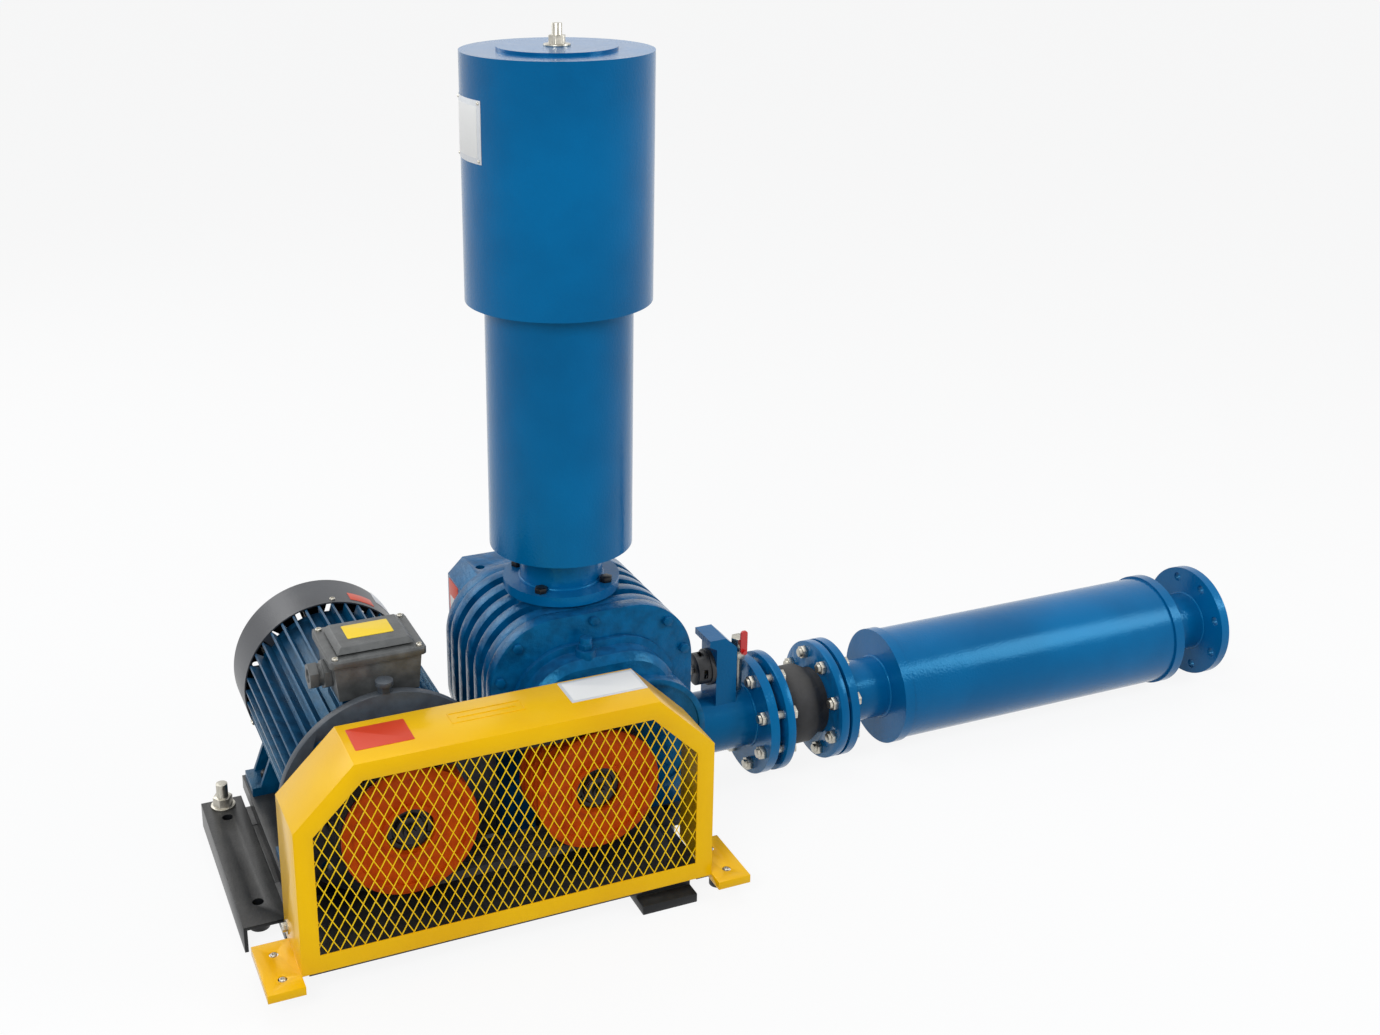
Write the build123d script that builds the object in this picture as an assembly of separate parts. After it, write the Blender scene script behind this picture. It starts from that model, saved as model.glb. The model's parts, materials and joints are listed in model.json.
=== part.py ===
from build123d import *
import os
from math import acos, cos, degrees, pi, radians, sin, sqrt, tan

# Belt-driven three-lobe roots vacuum pump on a welded skid, in millimetres.
# +Z is up, +X runs along the belt guard towards the outlet, +Y points from the guard to the motor fan.
# The origin is the centre of the four foundation bolts, on the floor.

os.makedirs("parts", exist_ok=True)

# ---------------------------------------------------------------- fits and clearances
touch_gap = 0.3            # between faces of different bodies that only lie close
shaft_fit = 0.05           # radial running clearance of a shaft
rotor_gap = 0.3            # between rotor tips and the casing, and between the two rotors

# ---------------------------------------------------------------- skid
base_height = 45.0
base_wall = 6.0
foundation_span_x = 710.0
foundation_span_y = 260.0
foundation_hole_r = 9.0
sleeve_r = 17.0
left_rail_width = 70.0
left_rail_length = 380.0
outer_rail_width = 75.0
outer_rail_length = 360.0
right_rail_width = 96.5
right_rail_front = -312.0
slab_reach = 28.0
stud_r = 10.0
stud_hex = 17.0
stud_washer_r = 21.0
stud_inset = 20.0
stud_nut = 16.0
stud_reach = 44.0
washer_thickness = 3.0
slab_thickness = 16.0
front_rail_y = -258.0
cross_rail_width = 45.0
wide_cross_rail_width = 60.0
deck_thickness = 7.0        # of the sheet that closes the skid under the guard
deck_setback = 6.0
tie_rail_x = (-60.0, 40.0)
middle_cross_y = -120.0
rear_cross_y = 120.0

# ---------------------------------------------------------------- belt guard
guard_end_step = 18.0        # from each foundation bolt line in to the guard's end
guard_centre_x = 5.0
guard_height = 338.0
guard_depth = 118.0
guard_front_y = -340.0
guard_sheet = 2.5
guard_chamfer_x = 95.0
guard_chamfer_z = 94.0
guard_border = 29.0
tab_length = 57.0
tab_thickness = 14.0
tab_rise = 3.0
tab_front_reach = 28.0
tab_depth = 124.0
tab_hole_r = 7.0
mesh_pitch_x = 19.0
mesh_pitch_z = 35.0
mesh_strand = 1.5
mesh_layer = 1.2
guard_foot_r = 14.0

# ---------------------------------------------------------------- motor, frame size 160L with feet and flange
motor_inset_x = 207.0         # of the shaft axis from the left foundation bolts
motor_plate_thickness = 25.0
shaft_height = 160.0
flange_face_y = -193.0
flange_r = 175.0
flange_thickness = 15.0
flange_pcd = 300.0
spigot_r = 125.0
spigot_depth = 4.0
motor_shaft_r = 21.0
motor_shaft_reach = 110.0
frame_r = 128.0
fin_height = 20.0
fin_thickness = 4.0
fin_count = 34
frame_length = 382.0
frame_wall = 9.0
shield_thickness = 16.0
shield_register = 14.0
foot_span_x = 254.0
foot_span_y = 254.0
foot_setback = 108.0
foot_width = 66.0
foot_reach = 33.0
foot_pad = 16.0
foot_web = 9.0
foot_hole_r = 7.5
foot_bolt_slack = 0.5
foot_bolt_hex = 12.0
foot_bolt_head = 10.0
foot_pad_inner = 70.0       # from the motor axis to the inner end of each foot pad
plate_margin = 4.0
plate_rear_margin = 12.0
flange_hole_r = 9.5
flange_nose = 14.0
shaft_hole_gap = 1.0
bearing_lip = 5.0
register_depth = 12.0
fin_root = 3.0
fin_sweep = 300.0           # degrees of the frame that carry fins
fin_first = -60.0
eye_setback = 55.0
eye_boss_r = 16.0
eye_boss_rise = 4.0
eye_ring_r = 16.0
eye_wire_r = 5.0
eye_ring_rise = 24.0
eye_collar_r = 13.0
eye_collar_height = 10.0
cowl_r = 150.0
cowl_length = 112.0
cowl_sheet = 2.5
cowl_overlap = 14.0
cowl_slot_count = 10
cowl_dome = 14.0
cowl_eye_r = 26.0
cowl_slot_length = 74.0
cowl_slot_width = 9.0
cowl_slot_r = 78.0
cowl_lug_width = 18.0
core_inset = 70.0           # of the stator core from each end of the frame
coil_reach = 30.0
coil_clearance = 14.0
stator_bore_r = 74.0
air_gap = 0.8
fan_r = 118.0
fan_blades = 7
fan_width = 46.0

# ---------------------------------------------------------------- terminal box
box_width = 140.0
box_depth = 116.0
box_height = 60.0
box_centre_y = -98.0
box_wall = 5.0
lid_overhang = 7.0
pedestal_rise = 6.0
pedestal_inset_x = 12.0
pedestal_inset_y = 8.0
wire_duct_r = 22.0
box_lean = 6.0              # of each end of the box, from its top in to its foot
lid_corner = 10.0
lid_chamfer = 3.0
lid_thickness = 12.0
gland_r = 22.0
gland_length = 34.0
gland_nut = 12.0
gland_bore_r = 11.0
gland_offset_y = -12.0
wall_lean = 2.6             # how far the box's end leans in at the gland's height

# ---------------------------------------------------------------- blower
casing_x = 224.0
shaft_distance = 134.0
bore_z = base_height + motor_plate_thickness + shaft_height
casing_y = 0.0
rotor_length = 190.0
rotor_end_gap = 0.4
end_plate = 25.0
plate_corner_r = 112.0
plate_width = 360.0
plate_top_z = 440.0
plate_bottom_z = 118.0
rib_depth = 14.0
rib_count = 5
rib_width = 22.0
rotor_shaft_r = 24.0
bearing_outer_r = 42.0
bearing_width = 22.0
seal_width = 8.0
gear_teeth = 46
gear_width = 34.0
gear_backlash = 0.7
gear_case_depth = 104.0
gear_case_wall = 8.0
gear_case_chamfer = 28.0
gear_case_far_chamfer = 66.0
gear_case_inset = 35.0
gear_case_drop = 19.0
gear_case_margin = 10.0
gear_case_edge = 8.0
drive_cover_depth = 52.0
drive_cover_wall = 12.0
round_cover_r = 106.0
round_cover_reach = 20.0
round_cover_rim = 10.0
round_cover_dish = 6.0
cover_inset_left = 42.0
cover_inset_right = 46.0
cover_inset_bottom = 24.0
cover_inset_top = 60.0
cover_corner = 96.0
cover_chamfer = 12.0
cover_lip_reach = 12.0
cover_lip_thickness = 10.0
seal_seat_reach = 12.0
plug_boss_r = 17.0
plug_boss_rise = 12.0
plug_boss_inset_x = 114.0
plug_boss_inset_y = 26.0
cover_hex = 9.0
cover_head = 7.0
foot_block = 62.0
plug_r = 13.0
plug_height = 20.0

# ---------------------------------------------------------------- pulleys and belts
pulley_width = 86.0
pulley_front_y = -309.0
motor_pulley_r = 107.0
blower_pulley_r = 102.0
belt_count = 4
belt_pitch = 19.0
belt_top_width = 16.0
belt_bottom_width = 9.0
belt_height = 12.0
belt_proud = 1.5
groove_gap = 0.35
groove_spare_depth = 4.0
rim_width = 16.0
web_recess = 4.0
hub_r = 38.0
hub_rim = 8.0
hub_recess = 20.0

# ---------------------------------------------------------------- inlet silencer and filter
inlet_offset_x = -10.0       # of the inlet's axis from the middle of the casing
boss_r = 88.0
boss_root = 60.0
outlet_port_half_x = 40.0
outlet_port_half_y = 60.0
foot_block_inset = 12.0
inlet_flange_r = 98.5
inlet_flange_thickness = 17.0
inlet_flange_z = 445.0
inlet_bore_r = 58.0
inlet_bolt_circle = 82.0
neck_wall = 5.0
neck_r = 70.0
silencer_bottom_z = 525.0
silencer_r = 120.0
can_bottom_z = 946.0
can_r = 151.0
can_top_z = 1338.0
can_lid_rim = 16.0
spoke_half = 9.0
spoke_thickness = 6.0
seat_ring_width = 6.0
sheet_wall = 3.0
silencer_overlap = 60.0
lid_disc_r = 94.0
lid_disc_height = 5.0
lid_stud_r = 8.0
lid_stud_reach = 34.0
filter_outer_r = 120.0
filter_inner_r = 96.0

# ---------------------------------------------------------------- outlet line, DN100 flanges
outlet_z = 115.0
manifold_half_x = 70.0
manifold_half_y = 66.0
manifold_wall = 10.0
manifold_passage = 16.0     # from its side to the air passage
manifold_gap = 3.0          # from the end plate to the upright
manifold_upright = 24.0
manifold_rise = 6.0
pipe_r = 57.0
pipe_bore_r = 51.0
end_bore_r = 52.0           # of the end neck, which is of thinner pipe
line_flange_r = 110.0
line_pcd = 180.0
line_bolt_count = 8
line_bolt_r = 8.0
line_hole_r = 9.0           # in the open end flange
joint_hole_r = 8.5          # closer, in the line's own bolted joints
line_hex = 13.0
line_head = 10.0
flange_plate = 18.0
first_flange_x = 571.0
check_valve_width = 17.0
check_valve_r = 78.0
second_flange = 16.0
rubber_length = 94.0
rubber_bulge = 12.0
flange_gap = 6.0
tail_length = 98.0
silencer_body_length = 644.0
silencer_body_r = 105.0
silencer_band = 20.0
silencer_band_r = 109.0
end_neck_length = 93.0
flap_r = 40.0
flap_thickness = 3.0
flap_hang = 2.0
flap_pin_r = 2.4
flap_eye_r = 4.6
seat_width = 7.0
seat_overlap = 4.0
notch_half = 13.5

# ---------------------------------------------------------------- relief valve and drain cock
duct_left_x = 484.0
duct_right_x = 538.0
duct_depth = 62.0
duct_top_z = 294.0
duct_lip = 14.0
duct_chamfer = 22.0
valve_z = 228.0
relief_bore_r = 18.0
relief_body_r = 33.0
relief_body_length = 32.0
relief_wall = 7.0
poppet_r = 22.0
poppet_thickness = 4.0
stem_r = 4.5
relief_lift = 6.0           # travel that the poppet needs in its cage
knob_r = 9.0
spring_wire = 2.4
spring_turns = 4
cock_x = 556.0
nipple_r = 8.0
cock_body_z = 236.0
cock_body_height = 40.0
cock_body_r = 13.0
cock_stem_r = 4.0
lever_length = 46.0
lever_width = 13.0
lever_thickness = 4.0

# ================================================================ shared helpers
made = {}


def save(name, shape):
    """Keep one named piece and write its STEP file."""
    solids = shape.solids()
    piece = solids[0] if len(solids) == 1 else Compound(children=list(solids))
    piece.label = name
    made[name] = piece
    export_step(piece, "parts/" + name + ".step")


def block(x0, x1, y0, y1, z0, z1):
    """A box between two corners."""
    return Pos((x0 + x1) / 2, (y0 + y1) / 2, (z0 + z1) / 2) * Box(x1 - x0, y1 - y0, z1 - z0)


def rod_x(x0, x1, y, z, r):
    return Pos((x0 + x1) / 2, y, z) * Rot(0, 90, 0) * Cylinder(r, x1 - x0)


def rod_y(x, y0, y1, z, r):
    return Pos(x, (y0 + y1) / 2, z) * Rot(90, 0, 0) * Cylinder(r, y1 - y0)


def rod_z(x, y, z0, z1, r):
    return Pos(x, y, (z0 + z1) / 2) * Cylinder(r, z1 - z0)


def plane_y(y):
    """A sketch plane facing -Y, with its x along +X and its y along +Z."""
    return Plane(origin=(0, y, 0), x_dir=(1, 0, 0), z_dir=(0, -1, 0))


def prism_y(sketch, y0, y1):
    """Extrude an X-Z outline from y0 to the larger y1."""
    return extrude(plane_y(y1) * sketch, amount=y1 - y0)


def rounded(x0, x1, z0, z1, r):
    """A rounded rectangle in the X-Z sketch plane."""
    return Pos((x0 + x1) / 2, (z0 + z1) / 2) * RectangleRounded(x1 - x0, z1 - z0, r)


def hex_y(x, y0, y1, z, r):
    return prism_y(Pos(x, z) * RegularPolygon(r, 6), y0, y1)


def hex_x(x0, x1, y, z, r):
    return Pos(x0, y, z) * Rot(0, 90, 0) * extrude(RegularPolygon(r, 6), amount=x1 - x0)


def hex_z(x, y, z0, z1, r):
    return Pos(x, y, z0) * extrude(RegularPolygon(r, 6), amount=z1 - z0)


def turned_z(x, y, outline):
    """Revolve (radius, z) points about a vertical axis."""
    return Pos(x, y, 0) * revolve(Plane.XZ * make_face(Polyline(*outline, close=True)), Axis.Z)


def turned_x(y, z, outline):
    """Revolve (radius, x) points about an axis along X."""
    flat = [(along, radius) for radius, along in outline]
    return Pos(0, y, z) * revolve(make_face(Polyline(*flat, close=True)), Axis.X)


def turned_y(x, z, outline):
    """Revolve (radius, y) points about an axis along Y."""
    return Pos(x, 0, z) * revolve(make_face(Polyline(*outline, close=True)), Axis.Y)


def ring_points(count, radius, start=0.0):
    """Points evenly spaced on a circle, as (across, up)."""
    angles = [radians(start) + 2 * pi * i / count for i in range(count)]
    return [(radius * cos(angle), radius * sin(angle)) for angle in angles]


def fuse(pieces):
    """Join a list of overlapping solids into one."""
    return pieces[0].fuse(*pieces[1:]) if len(pieces) > 1 else pieces[0]


def cut(shape, tools):
    """Take a list of tools out of a solid."""
    return shape.cut(*tools)


def channel_y(x0, x1, y0, y1, top):
    """A channel along Y with its web on top."""
    inner = block(x0 + base_wall, x1 - base_wall, y0 - 1, y1 + 1, -1, top - base_wall)
    return block(x0, x1, y0, y1, 0, top) - inner


def channel_x(x0, x1, y0, y1, top):
    """A channel along X with its web on top."""
    inner = block(x0 - 1, x1 + 1, y0 + base_wall, y1 - base_wall, -1, top - base_wall)
    return block(x0, x1, y0, y1, 0, top) - inner


# ================================================================ skid
left_rail_x = -foundation_span_x / 2
outer_rail_x = foundation_span_x / 2
left_rail_edge = left_rail_x + left_rail_width / 2
outer_rail_edge = outer_rail_x - outer_rail_width / 2
hole_rows = (-foundation_span_y / 2, foundation_span_y / 2)


def bolt_sleeves(rail, x):
    """Add a sleeve from floor to web round each foundation bolt, and drill it."""
    sleeves = [rod_z(x, y, 0, base_height - base_wall / 2, sleeve_r) for y in hole_rows]
    drills = [rod_z(x, y, -1, base_height + 1, foundation_hole_r) for y in hole_rows]
    return cut(fuse([rail] + sleeves), drills)


left_rail = channel_y(left_rail_x - left_rail_width / 2, left_rail_edge,
                      -left_rail_length / 2, left_rail_length / 2, base_height)
left_rail = bolt_sleeves(left_rail, left_rail_x)

outer_rail = channel_y(outer_rail_edge, outer_rail_x + outer_rail_width / 2,
                       -outer_rail_length / 2, outer_rail_length / 2, base_height)
outer_rail = bolt_sleeves(outer_rail, outer_rail_x)

right_rail_left = outer_rail_edge - right_rail_width
right_rail = channel_y(right_rail_left, outer_rail_edge, right_rail_front, outer_rail_length / 2, base_height)
front_wall = block(right_rail_left, outer_rail_edge, right_rail_front, right_rail_front + base_wall,
                   0, base_height)
slab = block(right_rail_left, outer_rail_edge, right_rail_front - slab_reach, right_rail_front + base_wall,
             0, slab_thickness)
save("base_right_rail", fuse([right_rail, front_wall, slab]))

guard_length = foundation_span_x - 2 * guard_end_step
guard_left = guard_centre_x - guard_length / 2
guard_right = guard_centre_x + guard_length / 2
middle_cross_front = middle_cross_y - wide_cross_rail_width / 2
front_rail = channel_x(guard_left, right_rail_left, front_rail_y - cross_rail_width / 2,
                       front_rail_y + cross_rail_width / 2, base_height)
deck = block(left_rail_edge, right_rail_left, guard_front_y + deck_setback, middle_cross_front,
             base_height - deck_thickness, base_height)
tie_front = front_rail_y + cross_rail_width / 2
tie_rails = [channel_y(x - cross_rail_width / 2, x + cross_rail_width / 2, tie_front, middle_cross_front,
                       base_height) for x in tie_rail_x]
front_bay = fuse([front_rail, deck] + tie_rails)

cross_rails = [channel_x(left_rail_edge, right_rail_left, y - wide_cross_rail_width / 2,
                         y + wide_cross_rail_width / 2, base_height) for y in (middle_cross_y, rear_cross_y)]
save("base_cross_rails", Compound(children=[front_bay] + cross_rails))

# a clamping stud stands up through the left rail near its rear end
stud_y = left_rail_length / 2 - stud_inset
left_rail = left_rail - rod_z(left_rail_x, stud_y, 0, base_height + 1, stud_r)
save("base_long_rails", Compound(children=[left_rail, outer_rail]))
under_web = base_height - base_wall
washer_top = base_height + washer_thickness
stud_parts = [rod_z(left_rail_x, stud_y, under_web - stud_nut * 0.75, base_height + stud_reach, stud_r),
              rod_z(left_rail_x, stud_y, base_height, washer_top, stud_washer_r),
              hex_z(left_rail_x, stud_y, washer_top, washer_top + stud_nut, stud_hex),
              hex_z(left_rail_x, stud_y, under_web - stud_nut * 0.6, under_web, stud_hex)]
save("rail_stud", fuse(stud_parts))

# ================================================================ belt guard
guard_top = base_height + guard_height
guard_back_y = guard_front_y + guard_depth
shoulder_z = guard_top - guard_chamfer_z


def guard_outline(inset):
    """The six-sided guard outline, moved in by an inset on its top, ends and chamfers."""
    slope = sqrt(guard_chamfer_x ** 2 + guard_chamfer_z ** 2)
    slide_x = inset * (slope - guard_chamfer_x) / guard_chamfer_z
    slide_z = inset * (slope - guard_chamfer_z) / guard_chamfer_x
    half = guard_length / 2
    flat = half - guard_chamfer_x - slide_x
    side = [(half - inset, shoulder_z - slide_z), (flat, guard_top - inset)]
    mirrored = [(-x, z) for x, z in reversed(side)]
    low = base_height + inset
    points = [(-half + inset, low), (half - inset, low)] + side + mirrored
    return [(guard_centre_x + x, z) for x, z in points]


def guard_face(inset):
    return make_face(Polyline(*guard_outline(inset), close=True))


outer_shell = prism_y(guard_face(0), guard_front_y, guard_back_y)
hollow = prism_y(guard_face(guard_sheet), guard_front_y + guard_sheet, guard_back_y + 1)
open_bottom = block(guard_left + guard_sheet, guard_right - guard_sheet, guard_front_y + guard_sheet + 20,
                    guard_back_y + 1, base_height - 1, base_height + guard_sheet + 1)
window = prism_y(guard_face(guard_border), guard_front_y - 1, guard_front_y + guard_sheet + 1)
guard = cut(outer_shell, [hollow, open_bottom, window])
tab_top = base_height + tab_rise
tab_y0 = guard_front_y - tab_front_reach


def guard_tab(side):
    """A folded foot at one end of the guard: a top plate with a turned-down lip."""
    root_x = guard_left if side < 0 else guard_right
    tip_x = root_x + side * tab_length
    x0, x1 = min(root_x, tip_x), max(root_x, tip_x)
    plate = block(x0, x1, tab_y0, tab_y0 + tab_depth, tab_top - tab_thickness, tab_top)
    under = block(x0 + guard_sheet, x1 - guard_sheet, tab_y0 + guard_sheet, tab_y0 + tab_depth - guard_sheet,
                  tab_top - tab_thickness - 1, tab_top - guard_sheet)
    middle = (x0 + x1) / 2
    holes = [rod_z(middle, tab_y0 + tab_depth * share, tab_top - tab_thickness, tab_top + 1, tab_hole_r)
             for share in (0.25, 0.75)]
    return cut(plate, [under] + holes)


save("belt_guard", fuse([guard, guard_tab(-1), guard_tab(1)]))


def clip_strand(x_at_floor, lean):
    """One mesh strand, clipped to the window outline with a margin behind the sheet."""
    run = guard_height * mesh_pitch_x / mesh_pitch_z
    half = mesh_strand / 2 * sqrt(1 + (mesh_pitch_x / mesh_pitch_z) ** 2)
    low, high = base_height, guard_top
    bar = make_face(Polyline((x_at_floor - half, low), (x_at_floor + half, low),
                             (x_at_floor + half + lean * run, high), (x_at_floor - half + lean * run, high),
                             close=True))
    return bar & guard_face(guard_border - 10)


strands = []
for lean, layer in ((1, 0), (-1, 1)):
    y0 = guard_front_y + guard_sheet + layer * mesh_layer
    reach = guard_height * mesh_pitch_x / mesh_pitch_z
    first = guard_left - (reach if lean > 0 else 0)
    count = int((guard_length + reach) / mesh_pitch_x)
    for i in range(1, count):
        outline = clip_strand(first + i * mesh_pitch_x, lean)
        if outline is not None and outline.faces() and outline.area > 60:
            strands.append(prism_y(Sketch() + outline.faces(), y0, y0 + mesh_layer))
save("guard_mesh", Compound(children=[s for strand in strands for s in strand.solids()]))

tab_mid = [guard_left - tab_length / 2, guard_right + tab_length / 2]
feet = [rod_z(x, tab_y0 + tab_depth / 2, 0, tab_top - guard_sheet, guard_foot_r) for x in tab_mid]
save("guard_feet", Compound(children=feet))

# ================================================================ motor
motor_x = left_rail_x + motor_inset_x
motor_z = base_height + motor_plate_thickness + shaft_height
frame_start = flange_face_y + flange_thickness
frame_end = frame_start + frame_length
feet_z = motor_z - shaft_height
plate_x0 = motor_x - foot_span_x / 2 - foot_reach - plate_margin
plate_x1 = motor_x + foot_span_x / 2 + foot_reach + plate_margin
foot_rows = (flange_face_y + foot_setback, flange_face_y + foot_setback + foot_span_y)
foot_columns = (motor_x - foot_span_x / 2, motor_x + foot_span_x / 2)
plate_y0 = middle_cross_front
plate_y1 = foot_rows[1] + foot_width / 2 + plate_rear_margin
motor_plate = block(plate_x0, plate_x1, plate_y0, plate_y1, base_height, feet_z)
motor_plate = cut(motor_plate, [rod_z(x, y, base_height - 1, feet_z + 1, foot_hole_r)
                                for x in foot_columns for y in foot_rows])
save("motor_plate", motor_plate)

flange_front = flange_face_y - spigot_depth
motor_flange = rod_y(motor_x, flange_face_y, frame_start, motor_z, flange_r)
motor_flange = motor_flange + rod_y(motor_x, flange_front, flange_face_y, motor_z, spigot_r)
register_end = frame_start + register_depth
bearing_seat = rod_y(motor_x, flange_face_y + bearing_lip, register_end, motor_z, bearing_outer_r)
frame_bore_r = frame_r - frame_wall
motor_flange = motor_flange + rod_y(motor_x, frame_start, register_end, motor_z, frame_bore_r)
dish = rod_y(motor_x, flange_front - 1, flange_face_y + bearing_lip, motor_z, spigot_r - 18)
nose = rod_y(motor_x, flange_face_y - 1, flange_face_y + bearing_lip, motor_z, bearing_outer_r + flange_nose)
through = rod_y(motor_x, flange_front - 1, register_end + 1, motor_z, motor_shaft_r + shaft_hole_gap)
flange_holes = [rod_y(motor_x + u, flange_face_y - 1, frame_start + 1, motor_z + v, flange_hole_r)
                for u, v in ring_points(4, flange_pcd / 2, 45)]
motor_flange = cut(motor_flange, [dish - nose, bearing_seat, through] + flange_holes)
save("motor_flange", motor_flange)

grease_z = motor_z + flange_r
grease_y = flange_face_y + flange_thickness / 2
nipple_parts = [hex_z(motor_x, grease_y, grease_z - 3, grease_z + 12, 11),
                rod_z(motor_x, grease_y, grease_z + 12, grease_z + 20, 14)]
flange_round = rod_y(motor_x, flange_face_y - 9, frame_start + 9, motor_z, flange_r)
save("flange_plug", fuse(nipple_parts) - flange_round)

frame_section = Circle(frame_r)
for i in range(fin_count):
    angle = fin_first + fin_sweep * i / (fin_count - 1)
    fin = Rot(0, 0, angle) * Pos(frame_r + fin_height / 2 - fin_root, 0)
    fin = fin * Rectangle(fin_height + 2 * fin_root, fin_thickness)
    frame_section = frame_section + fin
frame_body = prism_y(Pos(motor_x, motor_z) * frame_section, frame_start, frame_end)
inner_bore = rod_y(motor_x, frame_start - 1, frame_end + 1, motor_z, frame_bore_r)
frame_body = frame_body - inner_bore
foot_shapes = []
for side in (-1, 1):
    x_out = motor_x + side * (foot_span_x / 2 + foot_reach)
    x_in = motor_x + side * foot_pad_inner
    for y in foot_rows:
        pad = block(min(x_out, x_in), max(x_out, x_in), y - foot_width / 2, y + foot_width / 2,
                    feet_z, feet_z + foot_pad)
        web_z = feet_z + foot_pad / 2
        web_face = make_face(Polyline((x_in, web_z), (x_out - side * 12, web_z),
                                      (motor_x + side * 112, motor_z - 56), (x_in, motor_z - 90), close=True))
        webs = [prism_y(web_face, y + end * (foot_width / 2 - foot_web / 2) - foot_web / 2,
                        y + end * (foot_width / 2 - foot_web / 2) + foot_web / 2) for end in (-1, 1)]
        foot_shapes += [pad] + webs
pedestal_top = motor_z + frame_r + fin_height + pedestal_rise
pedestal_half_x = box_width / 2 - pedestal_inset_x
pedestal_half_y = box_depth / 2 - pedestal_inset_y
pedestal = block(motor_x - pedestal_half_x, motor_x + pedestal_half_x, box_centre_y - pedestal_half_y,
                 box_centre_y + pedestal_half_y, motor_z + frame_bore_r - 2, pedestal_top)
eye_y = box_centre_y + box_depth / 2 + eye_setback
eye_z = motor_z + frame_r + fin_height + eye_boss_rise
eye_boss = rod_z(motor_x, eye_y, motor_z + frame_r - 4, eye_z, eye_boss_r)
frame_body = fuse([frame_body, pedestal, eye_boss] + foot_shapes)
foot_holes = [rod_z(x, y, feet_z - 1, feet_z + foot_pad + 1, foot_hole_r)
              for x in foot_columns for y in foot_rows]
wire_duct = rod_z(motor_x, box_centre_y, motor_z + 100, pedestal_top + 1, wire_duct_r)
save("motor_frame", cut(frame_body, [inner_bore, wire_duct] + foot_holes))

eye_ring = Pos(motor_x, eye_y, eye_z + eye_ring_rise) * Rot(90, 0, 0) * Torus(eye_ring_r, eye_wire_r)
save("lifting_eye", fuse([rod_z(motor_x, eye_y, eye_z, eye_z + eye_collar_height, eye_collar_r), eye_ring]))

foot_bolts = []
for x in foot_columns:
    for y in foot_rows:
        head = hex_z(x, y, feet_z + foot_pad, feet_z + foot_pad + foot_bolt_head, foot_bolt_hex)
        shank = rod_z(x, y, base_height, feet_z + foot_pad, foot_hole_r - foot_bolt_slack)
        foot_bolts.append(head + shank)
save("motor_foot_bolts", Compound(children=foot_bolts))

rear_shield = rod_y(motor_x, frame_end, frame_end + shield_thickness, motor_z, frame_r)
rear_bearing_y = frame_end - shield_register
rear_shield = rear_shield + rod_y(motor_x, rear_bearing_y, frame_end, motor_z, frame_bore_r)
shield_end = frame_end + shield_thickness
rear_shield = cut(rear_shield, [
    rod_y(motor_x, rear_bearing_y - 1, rear_bearing_y + bearing_width, motor_z, bearing_outer_r),
    rod_y(motor_x, rear_bearing_y - 1, shield_end + 1, motor_z, motor_shaft_r + shaft_hole_gap)])
save("motor_rear_shield", rear_shield)

core_y0, core_y1 = frame_start + core_inset, frame_end - core_inset
stator = rod_y(motor_x, core_y0, core_y1, motor_z, frame_bore_r)
coils = rod_y(motor_x, core_y0 - coil_reach, core_y1 + coil_reach, motor_z, frame_bore_r - coil_clearance)
stator_hole = rod_y(motor_x, core_y0 - coil_reach - 1, core_y1 + coil_reach + 1, motor_z, stator_bore_r)
save("stator_core", cut(stator, [stator_hole]))
winding = cut(coils, [stator_hole, rod_y(motor_x, core_y0, core_y1, motor_z, frame_r)])
save("stator_windings", winding)

front_bearing_y = flange_face_y + bearing_lip
motor_bearings = [rod_y(motor_x, front_bearing_y, front_bearing_y + bearing_width, motor_z, bearing_outer_r),
                  rod_y(motor_x, rear_bearing_y, rear_bearing_y + bearing_width, motor_z, bearing_outer_r)]
bearing_hole = rod_y(motor_x, flange_front, frame_end + 30, motor_z, motor_shaft_r + shaft_fit)
save("motor_bearings", Compound(children=[b - bearing_hole for b in motor_bearings]))

cowl_start = frame_end + shield_thickness - cowl_overlap
cowl_end = cowl_start + cowl_length
cowl_inside = cowl_end - cowl_sheet
cowl_outline = [(cowl_r, cowl_start), (cowl_r, cowl_end - cowl_dome), (cowl_r - cowl_dome, cowl_end),
                (cowl_eye_r, cowl_end), (cowl_eye_r, cowl_inside), (cowl_r - cowl_dome - 1, cowl_inside),
                (cowl_r - cowl_sheet, cowl_end - cowl_dome - 1), (cowl_r - cowl_sheet, cowl_start)]
cowl = turned_y(motor_x, motor_z, cowl_outline)
cowl = cowl + rod_y(motor_x, cowl_end - cowl_sheet, cowl_end, motor_z, cowl_eye_r + 1)
slot = Pos(cowl_slot_r, 0) * SlotOverall(cowl_slot_length, cowl_slot_width)
slots = [Rot(0, 0, 360 * i / cowl_slot_count) * slot for i in range(cowl_slot_count)]
slot_tool = [prism_y(Pos(motor_x, motor_z) * s, cowl_end - cowl_sheet - 1, cowl_end + 1) for s in slots]
lugs = []
for u, v in ring_points(4, 1.0, 45):
    lug = Rot(0, 0, degrees(acos(u)) * (1 if v > 0 else -1)) * Pos((frame_r + cowl_r) / 2 - 0.6, 0)
    lug = lug * Rectangle(cowl_r - frame_r - 1.2, cowl_lug_width)
    lugs.append(prism_y(Pos(motor_x, motor_z) * lug, cowl_start, cowl_start + cowl_overlap))
cowl = cut(cowl, slot_tool)
cowl = fuse([cowl] + lugs) - rod_y(motor_x, cowl_start - 1, cowl_start + cowl_overlap + 1, motor_z, frame_r)
save("fan_cowl", cowl)

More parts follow.
